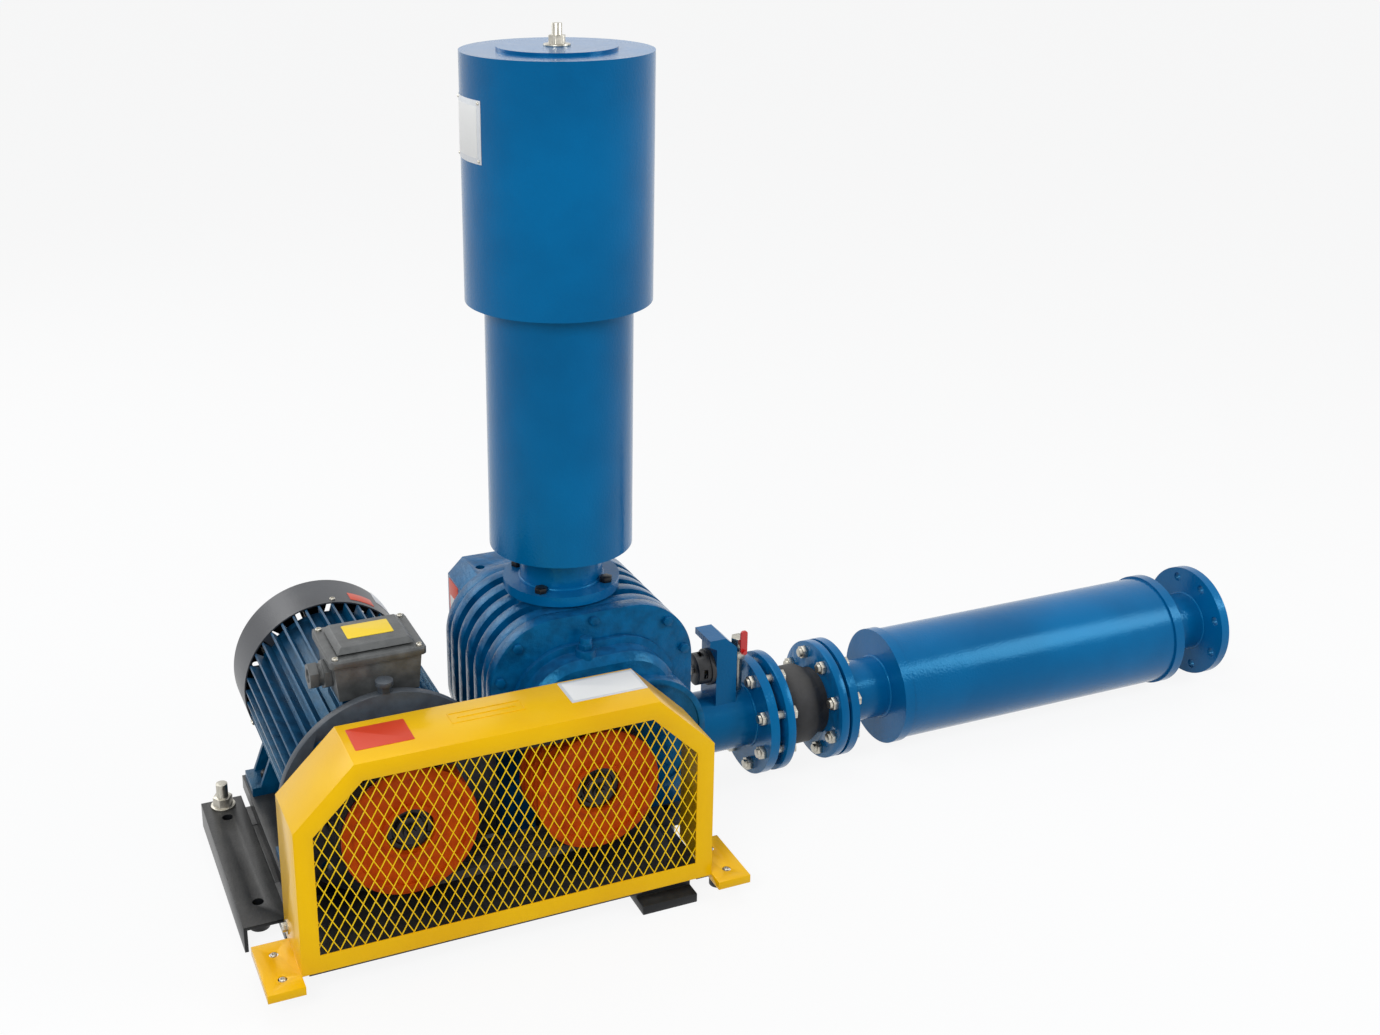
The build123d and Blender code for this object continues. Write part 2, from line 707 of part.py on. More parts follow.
# terminal box on top of the frame
box_x0, box_x1 = motor_x - box_width / 2, motor_x + box_width / 2
box_y0, box_y1 = box_centre_y - box_depth / 2, box_centre_y + box_depth / 2
box_z0, box_z1 = pedestal_top, pedestal_top + box_height
box_face = make_face(Polyline((box_x0 + box_lean, box_z0), (box_x1 - box_lean, box_z0), (box_x1, box_z1),
                              (box_x0, box_z1), close=True))
terminal_box = prism_y(box_face, box_y0, box_y1)
box_room = block(box_x0 + box_wall + 4, box_x1 - box_wall - 4, box_y0 + box_wall, box_y1 - box_wall,
                 box_z0 + box_wall, box_z1 + 1)
box_duct = rod_z(motor_x, box_centre_y, box_z0 - 1, box_z0 + box_wall + 1, wire_duct_r)
terminal_box = cut(terminal_box, [box_room, box_duct])
save("terminal_box", terminal_box)
lid_z1 = box_z1 + lid_thickness
lid = block(box_x0 - lid_overhang, box_x1 + lid_overhang, box_y0 - lid_overhang, box_y1 + lid_overhang,
            box_z1, lid_z1)
lid = chamfer(lid.edges().group_by(Axis.Z)[-1], lid_chamfer)
lid = fillet(lid.edges().filter_by(Axis.Z), lid_corner)
raised = block(box_x0 + 22, box_x1 - 22, box_y0 + 20, box_y1 - 20, lid_z1, lid_z1 + 4)
raised = chamfer(raised.edges().group_by(Axis.Z)[-1], lid_chamfer)
save("terminal_lid", lid + raised)
gland_z = box_z0 + box_height / 2
gland_y = box_centre_y + gland_offset_y
gland_x = box_x0 + wall_lean
gland = fuse([hex_x(gland_x - gland_nut, gland_x, gland_y, gland_z, gland_r + 3),
              rod_x(gland_x - 2 * gland_nut, gland_x - gland_nut, gland_y, gland_z, gland_r - 4),
              hex_x(gland_x - gland_length, gland_x - 20, gland_y, gland_z, gland_r)])
gland = gland - rod_x(gland_x - gland_length - 1, gland_x - 8, gland_y, gland_z, gland_bore_r)
plug_x = box_x1 - wall_lean
blank = fuse([hex_x(plug_x, plug_x + 7, box_centre_y, gland_z, gland_r - 2),
              rod_x(plug_x + 7, plug_x + 11, box_centre_y, gland_z, gland_r - 8)])
save("cable_glands", Compound(children=[gland - made["terminal_box"], blank - made["terminal_box"]]))

# motor rotor: shaft with core, fan and pulley
shaft_tip = flange_face_y - motor_shaft_reach
fan_y0 = frame_end + shield_thickness + 8
fan_y1 = fan_y0 + fan_width
motor_shaft = rod_y(motor_x, shaft_tip, fan_y1 - 4, motor_z, motor_shaft_r)
rotor_core = rod_y(motor_x, core_y0 + 2, core_y1 - 2, motor_z, stator_bore_r - air_gap)
save("motor_shaft", motor_shaft + rotor_core)
fan_hub = rod_y(motor_x, fan_y0, fan_y1, motor_z, 34)
fan_disc = rod_y(motor_x, fan_y0, fan_y0 + 4, motor_z, fan_r)
blade_solids = []
for i in range(fan_blades):
    blade = Rot(0, 0, 360 * i / fan_blades) * Pos((30 + fan_r) / 2, 0) * Rectangle(fan_r - 30, 4)
    blade_solids.append(prism_y(Pos(motor_x, motor_z) * blade, fan_y0 + 2, fan_y1))
fan = fuse([fan_hub, fan_disc] + blade_solids)
save("cooling_fan", fan - rod_y(motor_x, fan_y0 - 1, fan_y1 - 4, motor_z, motor_shaft_r))

# ================================================================ blower casing
drive_x = casing_x - shaft_distance / 2
driven_x = casing_x + shaft_distance / 2
pitch_r = shaft_distance / 2
roll_r = pitch_r / 6
tip_r = pitch_r + 2 * roll_r
bore_r = tip_r + rotor_gap
casing_y0 = casing_y - rotor_length / 2 - rotor_end_gap
casing_y1 = casing_y + rotor_length / 2 + rotor_end_gap
end_plate_x0 = casing_x - plate_width / 2
end_plate_x1 = casing_x + plate_width / 2


def plate_outline(inset):
    """The tall rounded outline that the end plates and ribs share."""
    return rounded(end_plate_x0 + inset, end_plate_x1 - inset, plate_bottom_z + inset, plate_top_z - inset,
                   plate_corner_r - inset)


casing_length = casing_y1 - casing_y0
rib_step = (casing_length - rib_width) / (rib_count - 1)
casing_parts = [prism_y(plate_outline(rib_depth), casing_y0, casing_y1)]
for i in range(rib_count):
    start = casing_y0 + i * rib_step
    casing_parts.append(prism_y(plate_outline(0), start, start + rib_width))
inlet_x = casing_x + inlet_offset_x
casing_parts.append(rod_z(inlet_x, casing_y, plate_top_z - boss_root, inlet_flange_z, boss_r))
casing = fuse(casing_parts)
bores = [rod_y(x, casing_y0 - 1, casing_y1 + 1, bore_z, bore_r) for x in (drive_x, driven_x)]
inlet_port = rod_z(inlet_x, casing_y, bore_z, inlet_flange_z + 1, inlet_bore_r)
outlet_port = block(casing_x - outlet_port_half_x, casing_x + outlet_port_half_x,
                    casing_y - outlet_port_half_y, casing_y + outlet_port_half_y, plate_bottom_z - 1, bore_z)
save("blower_casing", cut(casing, bores + [inlet_port, outlet_port]))

front_y1 = casing_y0
front_y0 = front_y1 - end_plate
rear_y0 = casing_y1
rear_y1 = rear_y0 + end_plate


def end_plate_shape(y0, y1):
    """An end plate with bearing seats, shaft holes and two feet that stand on the skid."""
    plate = prism_y(plate_outline(0), y0, y1)
    legs = []
    leg_inset = foot_block_inset + foot_block / 2
    for x in (end_plate_x0 + leg_inset, end_plate_x1 - leg_inset):
        legs.append(block(x - foot_block / 2, x + foot_block / 2, y0, y1, base_height, plate_bottom_z + 60))
    return fuse([plate] + legs)


shaft_holes = [rod_y(x, front_y0 - 1, rear_y1 + 1, bore_z, rotor_shaft_r + 1) for x in (drive_x, driven_x)]
front_seats = [rod_y(x, front_y0 - 1, front_y0 + bearing_width, bore_z, bearing_outer_r)
               for x in (drive_x, driven_x)]
rear_seats = [rod_y(x, rear_y1 - bearing_width, rear_y1 + 1, bore_z, bearing_outer_r)
              for x in (drive_x, driven_x)]
save("front_end_plate", cut(end_plate_shape(front_y0, front_y1), shaft_holes + front_seats))
save("rear_end_plate", cut(end_plate_shape(rear_y0, rear_y1), shaft_holes + rear_seats))

blower_bearings = []
for x in (drive_x, driven_x):
    for y in (front_y0, rear_y1 - bearing_width):
        ring = rod_y(x, y, y + bearing_width, bore_z, bearing_outer_r)
        ring_hole = rod_y(x, y - 1, y + bearing_width + 1, bore_z, rotor_shaft_r + shaft_fit)
        blower_bearings.append(ring - ring_hole)
save("blower_bearings", Compound(children=blower_bearings))

# drive-end cover: a domed cover over both front bearings, with a round cap over the driven shaft
cover_y0 = front_y0 - drive_cover_depth
cover_x0 = end_plate_x0 + cover_inset_left
cover_x1 = end_plate_x1 - cover_inset_right
cover_z0 = plate_bottom_z + cover_inset_bottom
cover_z1 = plate_top_z - cover_inset_top
cover_body = prism_y(rounded(cover_x0, cover_x1, cover_z0, cover_z1, cover_corner), cover_y0, front_y0)
cover_body = chamfer(cover_body.faces().sort_by(Axis.Y)[0].edges(), cover_chamfer)
lip_face = rounded(cover_x0 - cover_lip_reach, cover_x1 + cover_lip_reach, cover_z0 - cover_lip_reach,
                   cover_z1 + cover_lip_reach, cover_corner + cover_lip_reach)
cover_lip = prism_y(lip_face, front_y0 - cover_lip_thickness, front_y0)
cap_ring = rod_y(driven_x, cover_y0 - round_cover_reach, front_y0 - 1, bore_z, round_cover_r)
plug_boss_x = cover_x0 + plug_boss_inset_x
plug_boss_y = cover_y0 + plug_boss_inset_y
plug_z = cover_z1 + plug_boss_rise
plug_boss = rod_z(plug_boss_x, plug_boss_y, cover_z1 - 30, plug_z, plug_boss_r)
cover = fuse([cover_body, cover_lip, cap_ring, plug_boss])
cover_hollow = prism_y(rounded(cover_x0 + drive_cover_wall, cover_x1 - drive_cover_wall,
                               cover_z0 + drive_cover_wall, cover_z1 - drive_cover_wall,
                               cover_corner - drive_cover_wall), cover_y0 + drive_cover_wall, front_y0 + 1)
cap_front_y = cover_y0 - round_cover_reach
cap_dish = rod_y(driven_x, cap_front_y - 1, cap_front_y + round_cover_dish, bore_z,
                 round_cover_r - round_cover_rim)
seal_y1 = cover_y0 + seal_width
seal_seat = rod_y(drive_x, cover_y0 - round_cover_reach - 1, cover_y0 + drive_cover_wall + 1, bore_z,
                  rotor_shaft_r + seal_seat_reach)
save("drive_end_cover", cut(cover, [cover_hollow, cap_dish, seal_seat]))
seal = rod_y(drive_x, cover_y0, seal_y1, bore_z, rotor_shaft_r + seal_seat_reach)
save("shaft_seal", seal - rod_y(drive_x, cover_y0 - 1, seal_y1 + 1, bore_z, rotor_shaft_r + shaft_fit))
plug_hex_top = plug_z + plug_height / 2
plug_head = hex_z(plug_boss_x, plug_boss_y, plug_z, plug_hex_top, plug_r)
plug_knob = rod_z(plug_boss_x, plug_boss_y, plug_hex_top, plug_z + plug_height, plug_r - 3)
save("oil_filler_plug", plug_head + plug_knob)

# gear case at the rear
gear_y0 = rear_y1
gear_y1 = gear_y0 + gear_case_depth
case_x0 = end_plate_x0 + gear_case_inset
case_x1 = driven_x + pitch_r + gear_case_wall + gear_case_margin
case_z0 = plate_bottom_z + 6
case_z1 = plate_top_z - gear_case_drop


def case_outline(inset):
    """The gear case seen from behind: a box with cut corners, one of them large."""
    x0, x1, z0, z1 = case_x0 + inset, case_x1 - inset, case_z0 + inset, case_z1 - inset
    near, far = gear_case_chamfer - inset / 2, gear_case_far_chamfer - inset / 2
    corners = [(x0 + near, z0), (x1 - near, z0), (x1, z0 + near), (x1, z1 - far), (x1 - far, z1),
               (x0 + near, z1), (x0, z1 - near), (x0, z0 + near)]
    return make_face(Polyline(*corners, close=True))


case_block = prism_y(case_outline(0), gear_y0, gear_y1)
case_block = chamfer(case_block.faces().sort_by(Axis.Y)[-1].edges(), gear_case_edge)
case_room = prism_y(case_outline(gear_case_wall), gear_y0 - 1, gear_y1 - gear_case_wall)
top_hole = rod_z(case_x0 + 43, gear_y0 + 40, case_z1 - gear_case_wall - 1, case_z1 + 1, 8)
save("gear_case", cut(case_block, [case_room, top_hole]))

# visible cover bolts: hexagon heads that seat on the plate and cover faces
plate_mid_z = (plate_bottom_z + plate_top_z) / 2
corner_x = plate_width / 2 - plate_corner_r
corner_z = (plate_top_z - plate_bottom_z) / 2 - plate_corner_r
rim_r = plate_corner_r - 14
front_bolts = []
for sx in (-1, 1):
    for sz in (-1, 1):
        for angle in (10, 48):
            u = sx * (corner_x + rim_r * cos(radians(angle)))
            v = sz * (corner_z + rim_r * sin(radians(angle)))
            x, z = casing_x + u, plate_mid_z + v
            if sqrt((x - driven_x) ** 2 + (z - bore_z) ** 2) > round_cover_r + cover_hex:
                front_bolts.append(hex_y(x, front_y0 - cover_head, front_y0, z, cover_hex))
top_bolt_z = plate_mid_z + corner_z + rim_r
front_bolts.append(hex_y(casing_x, front_y0 - cover_head, front_y0, top_bolt_z, cover_hex))
gear_case_bolts = []
for x, z in ((case_x0 + 46, case_z0 + 22), (casing_x, case_z0 + 22), (case_x1 - 46, case_z0 + 22),
             (case_x0 + 46, case_z1 - 22), (casing_x, case_z1 - 22), (case_x1 - 22, case_z1 - 92)):
    gear_case_bolts.append(hex_y(x, gear_y1, gear_y1 + cover_head, z, cover_hex))
save("cover_bolts", Compound(children=front_bolts + gear_case_bolts))

# ================================================================ rotors, shafts and timing gears
lobe_steps = 7
profile_inset = rotor_gap / 2


def lobe_point(t, outside):
    """A point of the cycloidal rotor outline, moved in by half the rotor gap; t is in radians."""
    s = 1 if outside else -1
    k = (pitch_r + s * roll_r) / roll_r
    x = (pitch_r + s * roll_r) * cos(t) - s * roll_r * cos(k * t)
    z = (pitch_r + s * roll_r) * sin(t) - roll_r * sin(k * t)
    r = sqrt(x * x + z * z)
    return x * (1 - profile_inset / r), z * (1 - profile_inset / r)


def rotor_section():
    """Three lobes: epicycloid tips outside the pitch circle and hypocycloid flanks inside it."""
    edges = []
    ends = []
    for i in range(6):
        start = radians(60 * i)
        turn = radians(60 * i - 30)
        outside = i % 2 == 0
        points = []
        for j in range(lobe_steps):
            x, z = lobe_point(radians(60) * j / (lobe_steps - 1), outside)
            points.append((x * cos(turn) - z * sin(turn), x * sin(turn) + z * cos(turn)))
        ends.append(points)
    for i, points in enumerate(ends):
        points[0] = ends[i - 1][-1]
        edges.append(Spline(*points))
    return make_face(Wire(edges))


def gear_section(teeth, half_width, turn):
    """A spur gear outline: straight-flanked teeth with backlash, one tooth at the given turn in degrees."""
    module = 2 * half_width / teeth
    add, ded = 0.85 * module, 1.2 * module
    thin = gear_backlash / 2
    half_tooth = pi * module / 4 - thin
    points = []
    for i in range(teeth):
        middle = radians(turn) + 2 * pi * i / teeth
        for radius, side in ((half_width - ded, -1), (half_width + add, -1), (half_width + add, 1),
                             (half_width - ded, 1)):
            half = half_tooth - (radius - half_width) * tan(radians(20))
            angle = middle + side * half / radius
            points.append((radius * cos(angle), radius * sin(angle)))
    return make_face(Polyline(*points, close=True))


rotor_y0, rotor_y1 = casing_y - rotor_length / 2, casing_y + rotor_length / 2
gear_start = rear_y1 + 14
gear_end = gear_start + gear_width
pulley_back_y = pulley_front_y + pulley_width
section = rotor_section()
for name, x, front in (("drive_rotor", drive_x, pulley_front_y), ("driven_rotor", driven_x, front_y0 - 6)):
    lobes = prism_y(Pos(x, bore_z) * section, rotor_y0, rotor_y1)
    save(name, lobes + rod_y(x, front, gear_end + 10, bore_z, rotor_shaft_r))

tooth_turn = 180 / gear_teeth
for name, x, turn in (("drive_gear", drive_x, 0.0), ("driven_gear", driven_x, tooth_turn)):
    gear = prism_y(Pos(x, bore_z) * gear_section(gear_teeth, pitch_r, turn), gear_start, gear_end)
    save(name, gear - rod_y(x, gear_start - 1, gear_end + 1, bore_z, rotor_shaft_r))

# ================================================================ pulleys and belts
belt_middle_y = pulley_front_y + pulley_width / 2
belt_rows = [belt_middle_y + (i - (belt_count - 1) / 2) * belt_pitch for i in range(belt_count)]


def pulley(x, z, radius, shaft_r):
    """A grooved pulley whose front face has a shallow web and a deep round recess round the shaft."""
    body = rod_y(x, pulley_front_y, pulley_back_y, z, radius)
    tools = [rod_y(x, pulley_front_y - 1, pulley_back_y + 1, z, shaft_r)]
    web = rod_y(x, pulley_front_y - 1, pulley_front_y + web_recess, z, radius - rim_width)
    tools.append(web - rod_y(x, pulley_front_y - 2, pulley_front_y + web_recess + 1, z, hub_r + hub_rim))
    recess = rod_y(x, pulley_front_y - 1, pulley_front_y + hub_recess, z, hub_r)
    tools.append(recess - rod_y(x, pulley_front_y - 2, pulley_front_y + hub_recess + 1, z, shaft_r))
    belt_floor = radius + belt_proud - belt_height
    slope = (belt_top_width - belt_bottom_width) / 2 / belt_height
    rim, deep = radius + 1, belt_floor - groove_spare_depth
    wide, narrow = [belt_bottom_width / 2 + groove_gap + slope * (r - belt_floor) for r in (rim, deep)]
    for y in belt_rows:
        groove = [(rim, y - wide), (rim, y + wide), (deep, y + narrow), (deep, y - narrow)]
        tools.append(turned_y(x, z, groove))
    return cut(body, tools)


save("motor_pulley", pulley(motor_x, motor_z, motor_pulley_r, motor_shaft_r))
save("blower_pulley", pulley(drive_x, bore_z, blower_pulley_r, rotor_shaft_r))

pulley_span = drive_x - motor_x
belt_lift = degrees(acos((motor_pulley_r - blower_pulley_r) / pulley_span))


def belt(y):
    """One V-belt: two arcs of trapezoid section round the pulleys and two straight runs between them."""
    pieces = []
    for x, radius, first, sweep in ((motor_x, motor_pulley_r, belt_lift, 360 - 2 * belt_lift),
                                    (drive_x, blower_pulley_r, -belt_lift, 2 * belt_lift)):
        outer = radius + belt_proud
        section = make_face(Polyline((outer, y - belt_top_width / 2), (outer, y + belt_top_width / 2),
                                     (outer - belt_height, y + belt_bottom_width / 2),
                                     (outer - belt_height, y - belt_bottom_width / 2), close=True))
        arc = revolve(section, Axis.Y, revolution_arc=sweep)
        pieces.append(Pos(x, 0, motor_z) * Rot(0, -(first + sweep), 0) * arc)
    run = pulley_span * sin(radians(belt_lift))
    for side in (1, -1):
        angle = side * belt_lift
        outer = motor_pulley_r + belt_proud
        section = make_face(Polyline((outer, y - belt_top_width / 2), (outer, y + belt_top_width / 2),
                                     (outer - belt_height, y + belt_bottom_width / 2),
                                     (outer - belt_height, y - belt_bottom_width / 2), close=True))
        straight = extrude(section, amount=run, dir=(0, 0, -side))
        pieces.append(Pos(motor_x, 0, motor_z) * Rot(0, -angle, 0) * straight)
    return fuse(pieces)


save("drive_belts", Compound(children=[belt(y) for y in belt_rows]))

# ================================================================ inlet silencer and filter
flange_top_z = inlet_flange_z + inlet_flange_thickness
silencer_top_z = can_bottom_z + silencer_overlap
lower_outline = [(inlet_bore_r, inlet_flange_z), (inlet_flange_r, inlet_flange_z),
                 (inlet_flange_r, flange_top_z),
                 (neck_r, flange_top_z), (neck_r, silencer_bottom_z), (silencer_r, silencer_bottom_z),
                 (silencer_r, silencer_top_z), (silencer_r - sheet_wall, silencer_top_z),
                 (silencer_r - sheet_wall, silencer_bottom_z + sheet_wall),
                 (neck_r - neck_wall, silencer_bottom_z + sheet_wall), (neck_r - neck_wall, flange_top_z),
                 (inlet_bore_r, flange_top_z)]
inlet_silencer = turned_z(inlet_x, casing_y, lower_outline)
inlet_bolt_points = ring_points(4, inlet_bolt_circle, 45)
inlet_holes = [rod_z(inlet_x + u, casing_y + v, inlet_flange_z - 1, flange_top_z + 1, 7)
               for u, v in inlet_bolt_points]
save("inlet_silencer", cut(inlet_silencer, inlet_holes))
save("inlet_flange_bolts", Compound(children=[
    hex_z(inlet_x + u, casing_y + v, flange_top_z, flange_top_z + 9, 11)
    + rod_z(inlet_x + u, casing_y + v, inlet_flange_z, flange_top_z, 6.5) for u, v in inlet_bolt_points]))

can_inner = can_r - sheet_wall
lid_bottom_z = can_top_z - can_lid_rim
can_shell = turned_z(inlet_x, casing_y, [(can_r, can_bottom_z), (can_r, lid_bottom_z),
                                         (can_inner, lid_bottom_z), (can_inner, can_bottom_z)])
deck_z = silencer_top_z
filter_bottom = deck_z + spoke_thickness
spokes = []
for i in range(3):
    spoke = Rot(0, 0, 120 * i + 30) * block(filter_inner_r, can_inner + 1, -spoke_half, spoke_half, deck_z,
                                            filter_bottom)
    spokes.append(Pos(inlet_x, casing_y, 0) * spoke)
filter_seat = rod_z(inlet_x, casing_y, deck_z, filter_bottom, filter_outer_r + 2)
filter_seat = filter_seat - rod_z(inlet_x, casing_y, deck_z - 1, filter_bottom + 1,
                                  filter_inner_r - seat_ring_width)
save("filter_can", fuse([can_shell, filter_seat] + spokes))
filter_ring = rod_z(inlet_x, casing_y, filter_bottom, lid_bottom_z, filter_outer_r)
filter_hole = rod_z(inlet_x, casing_y, filter_bottom - 1, lid_bottom_z + 1, filter_inner_r)
save("filter_element", filter_ring - filter_hole)
lid_outline = [(0, lid_bottom_z), (can_r, lid_bottom_z), (can_r, can_top_z), (lid_disc_r, can_top_z),
               (lid_disc_r, can_top_z + lid_disc_height), (0, can_top_z + lid_disc_height)]
lid_bore = rod_z(inlet_x, casing_y, lid_bottom_z - 1, can_top_z + lid_disc_height + 1, lid_stud_r)
save("filter_lid", turned_z(inlet_x, casing_y, lid_outline) - lid_bore)
stud_base = can_top_z + lid_disc_height
save("lid_stud", fuse([rod_z(inlet_x, casing_y, lid_bottom_z, stud_base + lid_stud_reach, lid_stud_r),
                       rod_z(inlet_x, casing_y, stud_base, stud_base + 3, 21),
                       hex_z(inlet_x, casing_y, stud_base + 3, stud_base + 16, 14)]))

# ================================================================ outlet line
manifold_top = plate_bottom_z
upright_x0 = end_plate_x1 + manifold_gap
upright_x1 = upright_x0 + manifold_upright
manifold_y0, manifold_y1 = casing_y - manifold_half_y, casing_y + manifold_half_y
air_y0, air_y1 = manifold_y0 + manifold_passage, manifold_y1 - manifold_passage
manifold = fuse([block(casing_x - manifold_half_x, upright_x1, manifold_y0, manifold_y1, base_height,
                       manifold_top),
                 block(upright_x0, upright_x1, manifold_y0, manifold_y1, base_height,
                       outlet_z + pipe_r + manifold_rise)])
manifold_air = [block(casing_x - manifold_half_x + manifold_wall, upright_x0 + 8, air_y0, air_y1,
                      base_height + manifold_wall, manifold_top - 8),
                block(casing_x - outlet_port_half_x, casing_x + outlet_port_half_x, air_y0, air_y1,
                      base_height + manifold_wall + 2, manifold_top + 1),
                rod_x(upright_x0 - 10, upright_x1 + 1, casing_y, outlet_z, pipe_bore_r)]
save("outlet_manifold", cut(manifold, manifold_air))

first_x0 = first_flange_x
first_x1 = first_x0 + flange_plate
second_x0 = first_x1 + check_valve_width
second_x1 = second_x0 + second_flange
third_x0 = second_x1 + rubber_length
third_x1 = third_x0 + second_flange
fourth_x0 = third_x1 + flange_gap
fourth_x1 = fourth_x0 + second_flange
body_x0 = fourth_x1 + tail_length
body_x1 = body_x0 + silencer_body_length
fifth_x0 = body_x1 + end_neck_length
fifth_x1 = fifth_x0 + flange_plate


half_hole_step = 180 / line_bolt_count


def line_holes(x0, x1, r=joint_hole_r):
    """Drill the flange bolt circle through one flange, straddling its centreline."""
    return [rod_x(x0 - 1, x1 + 1, casing_y + u, outlet_z + v, r)
            for u, v in ring_points(line_bolt_count, line_pcd / 2, half_hole_step)]


tee_outline = [(pipe_bore_r, upright_x1), (pipe_r, upright_x1), (pipe_r, first_x0), (line_flange_r, first_x0),
               (line_flange_r, first_x1), (pipe_bore_r, first_x1)]
tee = turned_x(casing_y, outlet_z, tee_outline)
duct_y0, duct_y1 = casing_y - duct_depth / 2, casing_y + duct_depth / 2
seat_x = duct_left_x + duct_lip
duct_profile = make_face(Polyline((seat_x, outlet_z), (duct_right_x, outlet_z),
                                  (duct_right_x, duct_top_z - duct_chamfer),
                                  (duct_right_x - duct_chamfer, duct_top_z), (duct_left_x, duct_top_z),
                                  (duct_left_x, duct_top_z - 12), (seat_x, duct_top_z - 20), close=True))
duct = prism_y(duct_profile, duct_y0, duct_y1)
duct_mid_x = (seat_x + duct_right_x) / 2
nipple_port = rod_z(cock_x, casing_y, outlet_z, outlet_z + pipe_r + 1, nipple_r - 4)
tee = fuse([tee, duct])
tee = cut(tee, [rod_x(upright_x1 - 1, first_x1 + 1, casing_y, outlet_z, pipe_bore_r),
                rod_z(duct_mid_x, casing_y, outlet_z, valve_z + 10, relief_bore_r - 3),
                rod_x(duct_left_x, duct_mid_x, casing_y, valve_z, relief_bore_r - 3),
                nipple_port] + line_holes(first_x0, first_x1))
save("outlet_tee", tee)

wafer_bore = pipe_bore_r - 1
wafer_outline = [(wafer_bore, first_x1), (check_valve_r, first_x1), (check_valve_r, second_x0),
                 (wafer_bore, second_x0)]
wafer = turned_x(casing_y, outlet_z, wafer_outline)
hinge_z = outlet_z + flap_r - flap_hang
hinge_x = first_x1 + seat_width - flap_pin_r - 0.6
seat_ring = turned_x(casing_y, outlet_z, [(flap_r - seat_overlap, first_x1), (wafer_bore + 1, first_x1),
                                          (wafer_bore + 1, first_x1 + seat_width),
                                          (flap_r - seat_overlap, first_x1 + seat_width)])
notch = block(first_x1 - 1, first_x1 + seat_width + 1, casing_y - notch_half, casing_y + notch_half,
              hinge_z - flap_eye_r - 1.5, outlet_z + wafer_bore - 1)
pin = rod_y(hinge_x, casing_y - notch_half - 2, casing_y + notch_half + 2, hinge_z, flap_pin_r)
save("check_valve_body", fuse([wafer, seat_ring - notch, pin]))

flap_x0 = first_x1 + seat_width + touch_gap
flap_x1 = flap_x0 + flap_thickness
eye_half = notch_half - 1.5
flap_disc = rod_x(flap_x0, flap_x1, casing_y, hinge_z - flap_r, flap_r - 1)
flap_disc = flap_disc - block(flap_x0 - 1, flap_x1 + 1, casing_y - flap_r, casing_y + flap_r,
                              hinge_z - flap_eye_r, hinge_z + flap_r)
flap_eye = rod_y(hinge_x, casing_y - eye_half, casing_y + eye_half, hinge_z, flap_eye_r)
flap_arm = block(hinge_x, flap_x1, casing_y - eye_half, casing_y + eye_half, hinge_z - flap_eye_r - 2,
                 hinge_z - 1)
arm_relief = block(hinge_x - 9, flap_x0, casing_y - eye_half - 1, casing_y + eye_half + 1,
                   hinge_z - flap_eye_r - 9, hinge_z - flap_eye_r)
flap = fuse([flap_disc, flap_arm, flap_eye])
flap = cut(flap, [arm_relief, rod_y(hinge_x, casing_y - eye_half - 1, casing_y + eye_half + 1, hinge_z,
                                    flap_pin_r + shaft_fit)])
save("check_flap", flap)

joint_parts = []
for x0 in (second_x0, third_x0):
    x1 = x0 + second_flange
    ring = turned_x(casing_y, outlet_z, [(pipe_r + 4, x0), (line_flange_r, x0), (line_flange_r, x1),
                                         (pipe_r + 4, x1)])
    joint_parts.append(cut(ring, line_holes(x0, x0 + second_flange)))
save("joint_flanges", Compound(children=joint_parts))
bellows_outline = [(pipe_bore_r, second_x0), (pipe_r + 4, second_x0), (pipe_r + 4, second_x1 + 10),
                   (pipe_r + 4 + rubber_bulge, second_x1 + 30), (pipe_r + 4 + rubber_bulge, third_x0 - 30),
                   (pipe_r + 4, third_x0 - 10), (pipe_r + 4, third_x1), (pipe_bore_r, third_x1)]
save("rubber_joint", turned_x(casing_y, outlet_z, bellows_outline))
gasket = turned_x(casing_y, outlet_z, [(pipe_bore_r, third_x1), (check_valve_r, third_x1),
                                       (check_valve_r, fourth_x0), (pipe_bore_r, fourth_x0)])
save("line_gasket", gasket)

shell = silencer_body_r - sheet_wall
tail_outline = [(pipe_bore_r, fourth_x0), (line_flange_r, fourth_x0), (line_flange_r, fourth_x1),
                (pipe_r, fourth_x1), (pipe_r, body_x0), (silencer_band_r, body_x0),
                (silencer_band_r, body_x0 + silencer_band),
                (silencer_body_r, body_x0 + silencer_band), (silencer_body_r, body_x1 - silencer_band),
                (silencer_band_r, body_x1 - silencer_band), (silencer_band_r, body_x1), (pipe_r, body_x1),
                (pipe_r, fifth_x0), (line_flange_r, fifth_x0), (line_flange_r, fifth_x1),
                (end_bore_r, fifth_x1), (end_bore_r, body_x1 - sheet_wall), (shell, body_x1 - sheet_wall),
                (shell, body_x0 + sheet_wall), (pipe_bore_r, body_x0 + sheet_wall)]
tail = turned_x(casing_y, outlet_z, tail_outline)
drills = line_holes(fourth_x0, fourth_x1) + line_holes(fifth_x0, fifth_x1, line_hole_r)
save("outlet_silencer", cut(tail, drills))
core_wall = 2.0
perforated = turned_x(casing_y, outlet_z, [(pipe_bore_r, body_x0 + sheet_wall),
                                           (pipe_bore_r + core_wall, body_x0 + sheet_wall),
                                           (pipe_bore_r + core_wall, body_x1 - sheet_wall),
                                           (pipe_bore_r, body_x1 - sheet_wall)])
save("silencer_core", perforated)


